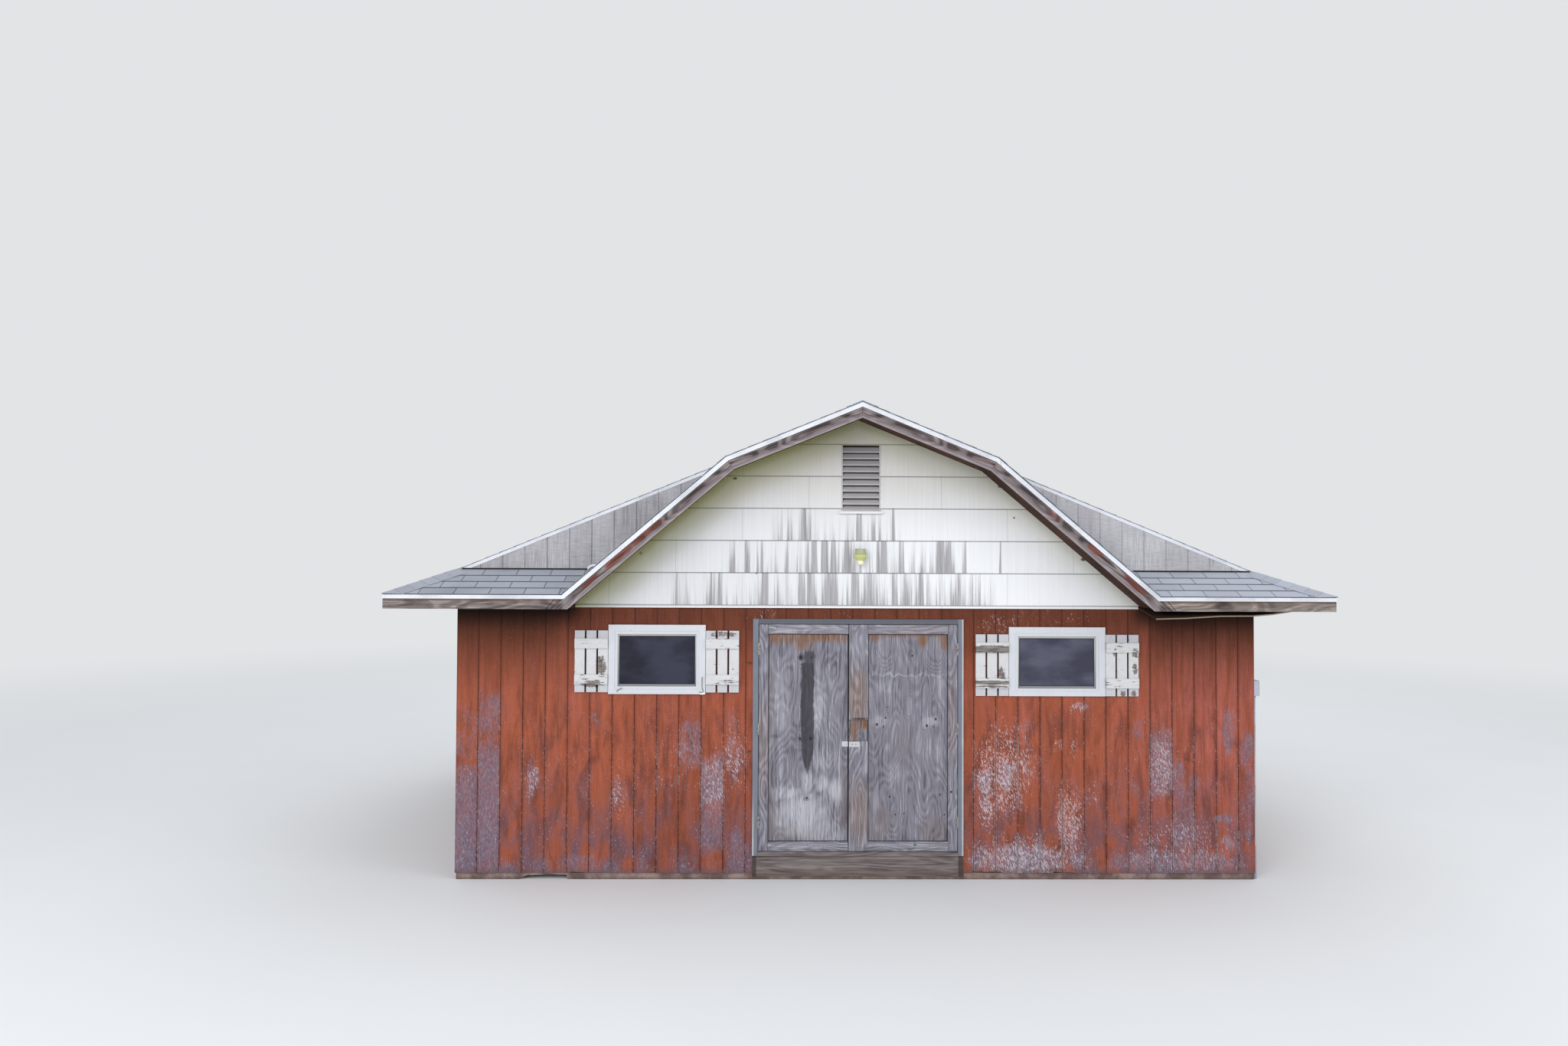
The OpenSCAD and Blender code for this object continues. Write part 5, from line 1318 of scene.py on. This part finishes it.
class BARN_OT_gable(bpy.types.Operator):
    """Paints and peels the lap panels, and finishes the bare gable wall and the vent"""

    bl_idname = "barn.gable"
    bl_label = "Gable"

    def execute(self, context):
        looks = context.scene.barn_gable
        dress(lap_panel_finish(looks), "gable_panels")
        dress(bare_gable_finish(looks), "front_gable_wall")
        dress(louvre_finish(), "gable_vent")
        return {"FINISHED"}


class BARN_OT_doors(bpy.types.Operator):
    """Finishes the two door leaves, their boards, the frame and the sill"""

    bl_idname = "barn.doors"
    bl_label = "Doors"

    def execute(self, context):
        looks = context.scene.barn_door
        low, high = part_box("left_door_boards")
        rail_low, rail_high = low.z + DOOR_BOARD, high.z - DOOR_BOARD
        rails = [("z", rail_low), ("z", rail_high)]
        left_stile, right_stile = low.x + DOOR_BOARD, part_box("right_door_boards")[1].x - DOOR_BOARD
        dress(leaf_finish("left_leaf_wood", looks, 11.0, 1.0,
                          edges=[*rails, ("x", left_stile), ("x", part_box("left_door_panel")[1].x)],
                          knots=LEFT_LEAF_KNOTS,
                          long_stain=(-0.455, 0.063, 0.92, 2.09), dark_spots=LEFT_LEAF_DARK_SPOTS,
                          pale_spots=LEFT_LEAF_PALE_SPOTS, rust_spots=LEFT_LEAF_RUST_SPOTS,
                          brown_spots=LEFT_LEAF_BROWN_SPOTS), "left_door_panel")
        dress(leaf_finish("right_leaf_wood", looks, 23.0, 0.15,
                          edges=[*rails, ("x", right_stile), ("x", BATTEN_EDGE)], knots=RIGHT_LEAF_KNOTS,
                          long_stain=None, dark_spots=RIGHT_LEAF_DARK_SPOTS, pale_spots=RIGHT_LEAF_PALE_SPOTS,
                          rust_spots=RIGHT_LEAF_RUST_SPOTS, brown_spots=RIGHT_LEAF_BROWN_SPOTS,
                          arcs=RIGHT_LEAF_ARCS), "right_door_panel")
        dress(board_finish("left_boards_wood", looks, 31.0, rail_heights=(rail_low, rail_high),
                           rail_ends=(left_stile, 9.0),
                           brown_spots=[(-0.86, 1.2, 0.05, 0.5, 0.5)], pale_spots=LEFT_BOARDS_PALE_SPOTS),
              "left_door_boards")
        dress(board_finish("right_boards_wood", looks, 41.0, rail_heights=(rail_low, rail_high),
                           rail_ends=(BATTEN_EDGE, right_stile), brown_spots=RIGHT_BOARDS_BROWN_SPOTS,
                           pale_spots=RIGHT_BOARDS_PALE_SPOTS, dark_spots=RIGHT_BOARDS_DARK_SPOTS),
              "right_door_boards")
        dress(frame_finish(looks), "door_frame")
        dress(sill_finish(), "door_sill")
        return {"FINISHED"}


class BARN_OT_windows(bpy.types.Operator):
    """Finishes the casings, screens and shutters"""

    bl_idname = "barn.windows"
    bl_label = "Windows"

    def execute(self, context):
        dress(painted_finish("white_casing", paint(203, 205, 211), paint(136, 132, 130), 0.64), "window_left",
              "window_right")
        dress(screen_finish("screen_left", 3.0, paint(40, 41, 52), paint(60, 62, 78)), "screen_left")
        dress(screen_finish("screen_right", 8.0, paint(66, 66, 82), paint(92, 93, 110)), "screen_right")
        dress(shutter_finish("left_shutter_paint", "shutters_left", bare_spots=LEFT_SHUTTER_BARE_SPOTS),
              "shutters_left")
        dress(shutter_finish("right_shutter_paint", "shutters_right", bare_spots=RIGHT_SHUTTER_BARE_SPOTS),
              "shutters_right")
        return {"FINISHED"}


class BARN_OT_structure(bpy.types.Operator):
    """Finishes the base, the floor, the framing and the fittings that stay as they are"""

    bl_idname = "barn.structure"
    bl_label = "Structure and fittings"

    def execute(self, context):
        dress(concrete_finish(), "foundation")
        dress(lumber_finish("framing_lumber", paint(196, 158, 112)), "floor_joists", "frame_front_left",
              "frame_front_right", "frame_over_door", "frame_left", "frame_right", "frame_rear", "gable_studs",
              "rafters_left", "rafters_right", "ridge_board")
        dress(lumber_finish("floor_planks", paint(150, 124, 92), 0.14), "floor_deck")
        dress(fascia_finish("eave_fascia_wood", False), "eave_fascia_left", "eave_fascia_right",
              "rear_rake_boards")
        dress(soffit_finish(), "canopy_soffit", "soffit_left", "soffit_right")
        dress(drip_finish(), "drip_edges")
        dress(metal_finish("hinge_steel", paint(168, 164, 160), paint(104, 72, 54), 0.52, 0.42),
              "left_door_hinges", "right_door_hinges", "jamb_hinge_leaves")
        dress(metal_finish("hasp_steel", paint(206, 206, 208), paint(140, 112, 92), 0.66, 0.36), "hasp_plate",
              "hasp_strap")
        return {"FINISHED"}


class BARN_OT_shingles(bpy.types.Operator):
    """Lays the shingle tabs on every slope, and the caps on the ridge and the hips"""

    bl_idname = "barn.shingles"
    bl_label = "Shingles"

    def execute(self, context):
        looks = context.scene.barn_roof
        grit = shingle_finish(looks)
        dress(grit, "roof_left", "roof_right", "skirt_left", "skirt_right", "canopy_roof")
        tree = shingle_tree()
        sizes = {"Tab width": looks.tab, "Exposure": looks.exposure, "Slot": looks.slot,
                 "Thickness": looks.thickness}
        overlap = 0.008
        laid = []
        eave_courses = 4
        slope_courses = math.ceil((EDGE_X / math.cos(PITCH)) / looks.exposure) + 1
        low_courses = math.ceil((FOOT_X - BREAK_X) / math.cos(LOW_PITCH) / looks.exposure) + 1
        full = ROOF_END_Y + overlap - (EAVE_Y - overlap)
        tabs = math.ceil(full / looks.tab) + 2
        rear = plane((0, ROOF_END_Y + overlap, 0), (0, 1, 0))
        front = plane((0, FRONT_Y - overlap, 0), (0, -1, 0))
        canopy_front = plane((0, EAVE_Y - overlap - 0.003, 0), (0, -1, 0))
        canopy_rear = plane((0, FRONT_Y, 0), (0, 1, 0))
        for side, hand in ((-1, "left"), (1, "right")):
            start_y = ROOF_END_Y + overlap if side < 0 else EAVE_Y - overlap
            spin = math.radians(-90 if side < 0 else 90)
            hip = plane((side * EDGE_X, EAVE_Y, 0), (-side, -1, 0))
            ridge = plane((0, 0, 0), (-side, 0, 0))
            break_plane = plane((side * BREAK_X, 0, 0), (side, 0, 0))
            break_course = math.floor((EDGE_X - BREAK_X) / math.cos(PITCH) / looks.exposure)
            top_courses = math.ceil(BREAK_X / math.cos(PITCH) / looks.exposure) + 2
            plans = [("eave", EDGE_X, EAVE_Z, PITCH, 0, eave_courses, [hip, rear]),
                     ("main", EDGE_X, EAVE_Z, PITCH, eave_courses, slope_courses - eave_courses,
                      [ridge, rear, front]), ("top", EDGE_X, EAVE_Z, PITCH, break_course, top_courses,
                                              [ridge, canopy_front, canopy_rear, break_plane]),
                     ("low", FOOT_X, EAVE_Z, LOW_PITCH, 0, low_courses,
                      [canopy_front, canopy_rear, plane((side * BREAK_X, 0, 0), (-side, 0, 0))])]
            for part, reach, height, pitch, first, courses, cuts in plans:
                turn = Matrix.Rotation(spin, 4, "Z") @ Matrix.Rotation(pitch, 4, "X")
                edge_x = reach if part == "main" else reach + 0.006
                corner = Vector((side * edge_x, start_y - side * looks.tab * 0.5, height))
                given = {**sizes, "Tabs": tabs, "Courses": courses, "First course": first, "Corner": corner,
                         "Seed": looks.seed + side + len(part), "Turn": turn.to_euler()}
                piece = grow(f"shingles_{part}_{hand}", tree, given, grit)
                laid.append(trim(piece, cuts))
            lean = plane((side * FOOT_X, 0, EAVE_Z), (-side * math.sin(LOW_PITCH), 0, -math.cos(LOW_PITCH)))
            front_hip = plane((side * EDGE_X, EAVE_Y, 0), (side, 1, 0))
            across = EDGE_X - BREAK_X
            drop = overlap * math.tan(PITCH) * 0.4
            corner = Vector((-EDGE_X if side < 0 else BREAK_X, EAVE_Y - overlap, EAVE_Z - drop))
            piece = grow(f"shingles_skirt_{hand}", tree,
                         {**sizes, "Tabs": math.ceil(across / looks.tab) + 2, "Courses": eave_courses,
                          "First course": 0, "Seed": looks.seed + 20 + side, "Corner": corner,
                          "Turn": Matrix.Rotation(PITCH, 4, "X").to_euler()}, grit)
            laid.append(trim(piece, [lean, front_hip, plane((0, FRONT_Y, 0), (0, 1, 0))]))
        ride_barn(merge_pieces("roof_shingles", laid))

        caps = cap_tree()
        rows = []
        run = ROOF_END_Y - EAVE_Y + 2 * overlap
        count = math.ceil(run / looks.exposure)
        sizes = {"Wing": looks.cap_wing, "Thickness": looks.thickness}
        start = Vector((0, EAVE_Y - overlap, RIDGE_Z + 0.007))
        rows.append(grow("ridge_caps", caps, {**sizes, "Count": count, "Start": start, "Step": run / count,
                                              "Fold": PITCH, "Turn": Vector((0, 0, 0)), "Seed": 3}, grit))
        for side, hand in ((-1, "left"), (1, "right")):
            along = Vector((-side, 1, math.tan(PITCH))).normalized()
            up = (Vector((side * math.sin(PITCH), 0, math.cos(PITCH)))
                  + Vector((0, -math.sin(PITCH), math.cos(PITCH))))
            up.normalize()
            across = along.cross(up)
            turn = Matrix((across, along, up)).transposed().to_euler()
            fold = math.acos(math.cos(PITCH) ** 2) / 2
            top = Vector((WALL_X, FRONT_Y, EAVE_Z + math.tan(PITCH) * (EDGE_X - WALL_X)))
            length = (top - Vector((EDGE_X, EAVE_Y, EAVE_Z))).length
            count = math.ceil(length / looks.exposure)
            start = Vector((side * (EDGE_X + 0.006), EAVE_Y - 0.006, EAVE_Z)) + up * 0.006
            given = {**sizes, "Count": count, "Start": start, "Step": length / count, "Fold": fold, "Turn": turn,
                     "Seed": 12 + side}
            row = grow(f"hip_caps_{hand}", caps, given, grit)
            rows.append(trim(row, [plane((0, FRONT_Y, 0), (0, 1, 0)),
                                   plane((0, EAVE_Y - overlap - 0.002, 0), (0, -1, 0)),
                                   plane((side * (EDGE_X + overlap + 0.002), 0, 0), (side, 0, 0))]))
        ride_barn(merge_pieces("shingle_caps", rows))
        return {"FINISHED"}


class BARN_OT_rake_boards(bpy.types.Operator):
    """Makes the four boards along the canopy's edge, mitred at the breaks and at the peak"""

    bl_idname = "barn.rake_boards"
    bl_label = "Canopy rake boards"

    def execute(self, context):
        wood = fascia_finish("rake_board_wood", True)
        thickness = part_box("canopy_fascia")[1].y - EAVE_Y
        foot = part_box("canopy_fascia")[0].z
        outer, inner, gap = 0.018, 0.127, 0.0012

        def ridge(d):
            return RIDGE_Z - d / math.cos(PITCH)

        def break_at(d):
            rise = EAVE_Z + LOW_SLOPE * FOOT_X - d / math.cos(LOW_PITCH) - ridge(d)
            x = rise / (LOW_SLOPE - math.tan(PITCH))
            return Vector((x, EAVE_Y, ridge(d) - math.tan(PITCH) * x))

        def foot_at(d):
            return Vector((FOOT_X + (EAVE_Z - d / math.cos(LOW_PITCH) - foot) / LOW_SLOPE, EAVE_Y, foot))

        boards = []
        apart = Vector((gap, 0, -gap))
        low = [break_at(inner) + apart, foot_at(inner), foot_at(outer), break_at(outer) + apart]
        top = [Vector((gap, EAVE_Y, ridge(inner))), break_at(inner), break_at(outer),
               Vector((gap, EAVE_Y, ridge(outer)))]
        for side, hand in ((-1, "left"), (1, "right")):
            for part, corners in (("low", low), ("top", top)):
                corners = [Vector((side * p.x, p.y, p.z)) for p in corners]
                boards.append(beam(f"rake_{part}_{hand}", wood, corners, thickness))
        piece = merge_pieces("rake_boards", boards)
        ride_barn(piece)
        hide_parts("canopy_fascia")
        return {"FINISHED"}


class BARN_OT_lamp(bpy.types.Operator):
    """Turns the porch lamp: a ringed cap, a flared collar and a ribbed glass, with its wires"""

    bl_idname = "barn.lamp"
    bl_label = "Porch lamp"

    def execute(self, context):
        low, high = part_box("porch_light")
        x, top = (low.x + high.x) / 2, high.z
        y = high.y - (high.x - low.x) / 2
        enamel, milk = (lamp_finish("lamp_enamel", paint(168, 172, 140), paint(196, 202, 128), top),
                        glass_finish())
        ring = ((0.0475, -0.003), (0.0495, -0.006), (0.0495, -0.010), (0.0475, -0.013))
        cap = [(0.0, 0.0), (0.044, 0.0), *((r, dz - 0.012 * k) for k in range(4) for r, dz in ring),
               (0.048, -0.052), (0.060, -0.055), (0.062, -0.060), (0.061, -0.070), (0.052, -0.080),
               (0.040, -0.094), (0.035, -0.106), (0.031, -0.108), (0.0, -0.108)]
        shade = lathe("lamp_cap", [(r, top + dz) for r, dz in cap], (x, y), 40, enamel)
        glass = [(0.0, -0.1075), (0.030, -0.1075), (0.031, -0.112)]
        for k in range(5):
            glass += [(0.0315, -0.115 - 0.0055 * k), (0.0300, -0.1175 - 0.0055 * k)]
        glass += [(0.027, -0.144), (0.018, -0.150), (0.0, -0.151)]
        bulb = lathe("lamp_glass", [(r, max(top + dz, low.z)) for r, dz in glass], (x, y), 32, milk)
        wall = FRONT_Y + 0.004
        dark = metal_finish("lamp_wire", paint(70, 72, 62), paint(60, 54, 44), 0.5, 0.5)
        steps = [i / 12 for i in range(13)]
        wires = []
        for k, (aside, sag) in enumerate(((0.036, 0.036), (-0.030, 0.026))):
            path = [(x + aside * s, y + 0.01 + (wall - y) * min(1.0, s * 1.2), top - 0.096
                     - sag * math.sin(math.pi * s)) for s in steps]
            wires.append(wire(f"lamp_wire_{k}", dark, path, 0.0022))
        lamp = merge_pieces("porch_lamp", [shade, bulb, *wires])
        ride_barn(lamp)
        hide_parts("porch_light")
        return {"FINISHED"}


class BARN_OT_nails(bpy.types.Operator):
    """Sets nail heads in the door boards, the siding, the shutters, the fascia and the lap panels"""

    bl_idname = "barn.nails"
    bl_label = "Nails"

    def execute(self, context):
        looks = context.scene.barn_nails
        tree = nail_tree()
        turn = Vector((math.radians(90), 0, 0))
        steel = metal_finish("nail_steel", paint(84, 80, 80), paint(62, 50, 44), 0.50, 0.6)
        red = metal_finish("nail_red", paint(120, 60, 46), paint(84, 44, 34), 0.52, 0.7)
        white = metal_finish("nail_white", paint(196, 196, 196), paint(120, 104, 94), 0.66, 0.5)

        def heads(name, places, material, body="barn", size=1.0):
            piece = grow(name, tree, {"Radius": looks.radius * size, "Rise": looks.rise, "Turn": turn,
                                      "Seed": len(places)}, material, places)
            ride_barn(piece, body)

        for side, body in (("left", "left_door"), ("right", "right_door")):
            low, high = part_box(side + "_door_boards")
            y = low.y
            count = round((high.z - low.z - 0.10) / looks.pitch)
            rows = [low.z + 0.05 + (high.z - low.z - 0.10) * k / count for k in range(count + 1)]
            outer = low.x + 0.040 if side == "left" else high.x - 0.040
            places = [(outer + 0.012 * (-1) ** k, y, z) for k, z in enumerate(rows)]
            span = [low.x + 0.16 + k * 0.145 for k in range(5)]
            places += [(x, y, z + 0.012 * (-1) ** k) for k, x in enumerate(span)
                       for z in (low.z + 0.042, high.z - 0.042)]
            if side == "right":
                places += [(low.x + 0.095 + 0.05 * (-1) ** k, y, z) for k, z in enumerate(rows)
                           if not 1.24 < z < 1.48]
            heads(f"{side}_door_nails", places, steel, body)

        places = []
        for low_x, high_x in ((-WALL_X, -0.98), (1.0, WALL_X)):
            first = LEFT_GROOVE if low_x < 0 else RIGHT_GROOVE
            for k in range(40):
                x = first + GROOVE_PITCH * k
                for side in (-0.014, 0.014):
                    if low_x + 0.02 < x + side < high_x - 0.02:
                        for z in (WALL_FOOT + 0.03, 0.62, 1.08, 1.54):
                            places.append((x + side, FRONT_Y, z + 0.01 * math.sin(31 * x + 7 * z)))
        heads("siding_nails", places, red, size=0.8)

        places = []
        for name in ("shutters_left", "shutters_right"):
            low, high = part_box(name)
            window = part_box(name.replace("shutters", "window"))
            for side_low, side_high in ((low.x, window[0].x), (window[1].x, high.x)):
                wide = side_high - side_low
                for k in range(3):
                    for up in (0.105, 0.465):
                        places.append((side_low + wide * (0.16 + 0.34 * k), low.y, low.z + up
                                       + 0.008 * (-1) ** k))
        heads("shutter_nails", places, white, size=0.8)

        places = []
        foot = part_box("eave_fascia_left")[0].z
        for side in (-1, 1):
            for k in range(5):
                for up in (0.03, 0.075):
                    places.append((side * (EDGE_X - 0.06 - 0.33 * k), EAVE_Y, foot + up))
        heads("fascia_nails", places, steel)
        places = []
        for k in range(26):
            x = -2.43 + k * 0.195
            for course in range(7):
                z = PANEL_Z + 0.030 + course * COURSE
                roof = min(RIDGE_Z - math.tan(PITCH) * abs(x), EAVE_Z + LOW_SLOPE * (FOOT_X - abs(x)))
                if z < roof - 0.22 and abs(x - VENT_X) > 0.22:
                    places.append((x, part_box("gable_panels")[0].y, z))
        heads("panel_nails", places, white, size=0.7)
        return {"FINISHED"}


class BARN_OT_fittings(bpy.types.Operator):
    """Adds the window hooks, the wall eyes beside the doors, the roof flashing and its loose tab"""

    bl_idname = "barn.fittings"
    bl_label = "Small fittings"

    def execute(self, context):
        iron = metal_finish("hook_iron", paint(92, 84, 80), paint(86, 58, 42), 0.46, 0.5)
        putty = painted_finish("putty", paint(226, 228, 230), paint(160, 156, 150), 0.72)
        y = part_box("window_left")[0].y
        hook = [(-1.42, y - 0.004, 1.842), (-1.4205, y - 0.007, 1.8), (-1.4215, y - 0.007, 1.765),
                (-1.418, y - 0.008, 1.735), (-1.41, y - 0.008, 1.722), (-1.414, y - 0.007, 1.706),
                (-1.43, y - 0.006, 1.702), (-1.448, y - 0.005, 1.706)]
        parts = [wire("window_hook", iron, hook, 0.0024)]
        left_hook = [(-2.15, y - 0.005, 1.742), (-2.168, y - 0.006, 1.73), (-2.19, y - 0.006, 1.722),
                     (-2.196, y - 0.005, 1.706)]
        parts.append(wire("window_hook_left", iron, left_hook, 0.0028))
        ride_barn(merge_pieces("window_hooks", parts))
        blobs = []
        for k, (x, z, wide) in enumerate(((-1.419, 1.690, 0.028), (-2.182, 1.712, 0.014))):
            work = bmesh.new()
            bmesh.ops.create_icosphere(work, subdivisions=3, radius=1.0)
            for vert in work.verts:
                c = vert.co
                bump = 1 + 0.10 * math.sin(5 * c.x + 3 * k) * math.sin(4 * c.z + 1)
                vert.co = Vector((x + c.x * wide * bump, y - 0.001 + c.y * 0.007, z + c.z * wide * 0.34 * bump))
            blobs.append(as_piece(f"blob_{k}", work, putty, smooth=True))
        ride_barn(merge_pieces("window_putty", blobs))

        eyes = []
        for x, z in ((-0.984, 1.971), (-0.984, 1.164)):
            turns = [math.tau * k / 14 for k in range(15)]
            ring = [(x + 0.010 * math.cos(a) - 0.006, FRONT_Y - 0.012, z + 0.010 * math.sin(a)) for a in turns]
            eyes.append(wire(f"eye_{z:.0f}_{len(eyes)}", iron, ring, 0.0026))
            shank = [(x + 0.004, FRONT_Y - 0.012, z), (x + 0.01, FRONT_Y - 0.008, z),
                     (x + 0.012, FRONT_Y + 0.003, z)]
            eyes.append(wire(f"shank_{len(eyes)}", iron, shank, 0.0026))
        ride_barn(merge_pieces("wall_eyes", eyes))

        black = metal_finish("flashing_edge", paint(38, 38, 42), paint(50, 44, 40), 0.6, 0.6)
        foot = EAVE_Z + math.tan(PITCH) * (FRONT_Y - EAVE_Y)
        strips = []
        for side in (-1, 1):
            ends = sorted((side * FLASHING_X, side * (WALL_X - 0.035)))
            strips.append(((ends[0], FRONT_Y - 0.006, foot + 0.004), (ends[1], FRONT_Y + 0.001, foot + 0.017)))
        ride_barn(solid("wall_flashing", black, strips, 0.001))
        tab = bmesh.new()
        rows = []
        for k in range(9):
            s = k / 8
            x = -FLASHING_X + 0.085 * s
            lift = 0.030 * s + 0.012 * math.sin(math.pi * s)
            half = 0.014 * (1 - 0.55 * s)
            y, z = FRONT_Y - 0.012 - 0.02 * s, foot + 0.016 + lift
            rows.append([tab.verts.new((x, y - d * 0.0012, z + e * half)) for e in (-1, 1) for d in (0, 1)])
        for a, b in zip(rows, rows[1:]):
            for i, j in ((0, 1), (1, 3), (3, 2), (2, 0)):
                tab.faces.new((a[i], a[j], b[j], b[i]))
        tab.faces.new([rows[0][k] for k in (0, 2, 3, 1)])
        tab.faces.new([rows[-1][k] for k in (0, 1, 3, 2)])
        ride_barn(as_piece("loose_flashing_tab", tab, drip_finish()))
        return {"FINISHED"}


class BARN_OT_outlet(bpy.types.Operator):
    """Makes the outlet box and its conduit on the side wall, where the front view shows them"""

    bl_idname = "barn.outlet"
    bl_label = "Outlet box and conduit"

    def execute(self, context):
        plastic = plastic_finish()
        low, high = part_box("outlet_and_conduit")
        height, radius, corner = 0.137, 0.0135, FRONT_Y + 0.004
        wide, foot = high.y - low.y, high.z - height
        y = corner + wide / 2
        box = [((low.x, corner, foot), (high.x - 0.004, corner + wide, high.z)),
               ((high.x - 0.005, corner - 0.002, foot - 0.002),
                (high.x, corner + wide + 0.002, high.z + 0.002)),
               ((low.x, corner + 0.01, high.z - 0.001), (high.x - 0.012, corner + wide - 0.01, high.z + 0.006))]
        straps = [0.30, 0.85, 1.40]
        box += [((low.x - 0.0005, y - 0.026, z), (low.x + 0.0025, y + 0.026, z + 0.018)) for z in straps]
        pipe = [(0.0, 0.0), (radius, 0.0)]
        for z in straps:
            pipe += [(radius, z), (radius + 0.002, z + 0.001), (radius + 0.002, z + 0.017), (radius, z + 0.018)]
        pipe += [(radius, foot - 0.026), (radius + 0.005, foot - 0.024), (radius + 0.005, foot), (0.0, foot)]
        piece = merge_pieces("outlet_box", [solid("outlet_case", plastic, box, 0.001),
                                            lathe("conduit_pipe", pipe, (low.x + radius, y), 24, plastic)])
        ride_barn(piece)
        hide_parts("outlet_and_conduit")
        return {"FINISHED"}


class BARN_OT_stage(bpy.types.Operator):
    """Sets the floor, the soft light, the pale background and the camera"""

    bl_idname = "barn.stage"
    bl_label = "Stage"

    def execute(self, context):
        looks = context.scene.barn_stage
        scene = context.scene
        scene.view_settings.view_transform = "Standard"
        ground = bpy.data.meshes.new("studio_floor")
        reach, rim = 90, 96
        ground.from_pydata([(reach * math.cos(math.tau * k / rim), reach * math.sin(math.tau * k / rim), 0)
                            for k in range(rim)], [], [tuple(range(rim))])
        floor = bpy.data.objects.new("studio_floor", ground)
        scene.collection.objects.link(floor)
        f = Finish("studio_floor_paint")
        colour = f.mix(f.fade(f.noise(f.place, 3, 0.5, 0, 0.7), 0.3, 0.7, 0.06), looks.backdrop,
                       paint(206, 208, 210))
        f.done(colour, 0.9)
        far = f.term("ShaderNodeVectorMath", {0: f.place}, "Value", operation="LENGTH")
        glow = f.term("ShaderNodeEmission", {"Color": looks.backdrop})
        share = f.fade(far, 9.0, 26.0)
        blend = f.term("ShaderNodeMixShader", {0: share, 1: f.shader.outputs[0], 2: glow})
        f.feed(f.output.inputs["Surface"], blend)
        ground.materials.append(f.material)

        world = bpy.data.worlds.new("studio")
        scene.world = world
        world.use_nodes = True
        world.node_tree.nodes.clear()
        sky = Nodes(world.node_tree)
        rays = sky.node("ShaderNodeLightPath").outputs
        seen = rays["Is Camera Ray"]
        for kind in ("Is Glossy Ray", "Is Transmission Ray"):
            seen = sky.calc("MAXIMUM", seen, rays[kind])
        light = sky.term("ShaderNodeBackground", {"Color": (0.94, 0.97, 1.0), "Strength": looks.sky})
        shown = sky.term("ShaderNodeBackground", {"Color": looks.backdrop, "Strength": 1.0})
        sky.node("ShaderNodeOutputWorld", {0: sky.term("ShaderNodeMixShader", {0: seen, 1: light, 2: shown})})

        middle = Vector((0, 0, 2.0))
        lamps = (("key_lamp", (-6.0, -15.5, 7.6), 1.0), ("fill_lamp", (11.0, -10.0, 7.0), 0.42),
                 ("rear_lamp", (2.0, 14.0, 12.0), 0.6))
        for name, place, share in lamps:
            lamp = bpy.data.lights.new(name, "AREA")
            lamp.shape = "SQUARE"
            lamp.size = 9.0
            lamp.energy = looks.key * share
            holder = bpy.data.objects.new(name, lamp)
            holder.location = place
            holder.rotation_euler = (middle - Vector(place)).to_track_quat("-Z", "Y").to_euler()
            scene.collection.objects.link(holder)

        camera = bpy.data.cameras.new("photo_camera")
        camera.sensor_fit = "HORIZONTAL"
        camera.sensor_width = 36
        camera.lens = looks.lens
        camera.clip_end = 400
        holder = bpy.data.objects.new("photo_camera", camera)
        aim = Matrix.Rotation(math.radians(90) + looks.look_up, 4, "X")
        turn = Matrix.Rotation(-looks.look_right, 4, "Z") @ aim @ Matrix.Rotation(looks.roll, 4, "Z")
        holder.matrix_world = Matrix.Translation(looks.camera) @ turn
        scene.collection.objects.link(holder)
        scene.camera = holder
        return {"FINISHED"}


STEPS = (BARN_OT_stage, BARN_OT_siding, BARN_OT_gable, BARN_OT_doors, BARN_OT_windows, BARN_OT_structure,
         BARN_OT_shingles, BARN_OT_rake_boards, BARN_OT_lamp, BARN_OT_nails, BARN_OT_fittings, BARN_OT_outlet)
SETTINGS = (("barn_siding", SidingLooks), ("barn_gable", GableLooks), ("barn_door", DoorLooks),
            ("barn_roof", RoofLooks), ("barn_nails", NailLooks), ("barn_stage", StageLooks))


class BARN_PT_panel(bpy.types.Panel):
    """Lists the settings and the steps."""

    bl_idname = "BARN_PT_panel"
    bl_label = "Barn"
    bl_space_type = "VIEW_3D"
    bl_region_type = "UI"
    bl_category = "Barn"

    def draw(self, context):
        for name, group in SETTINGS:
            box = self.layout.box()
            box.label(text=group.__doc__.split(",")[0])
            for key in group.__annotations__:
                box.prop(getattr(context.scene, name), key)
        for step in STEPS:
            self.layout.operator(step.bl_idname)


def register():
    for cls in (*(group for _, group in SETTINGS), *STEPS, BARN_PT_panel):
        bpy.utils.register_class(cls)
    for name, group in SETTINGS:
        setattr(bpy.types.Scene, name, PointerProperty(type=group))


def unregister():
    for name, _ in SETTINGS:
        delattr(bpy.types.Scene, name)
    for cls in (BARN_PT_panel, *reversed(STEPS), *(group for _, group in SETTINGS)):
        bpy.utils.unregister_class(cls)


def main():
    register()
    for step in STEPS:
        group, name = step.bl_idname.split(".")
        getattr(getattr(bpy.ops, group), name)()


if __name__ == "__main__":
    main()
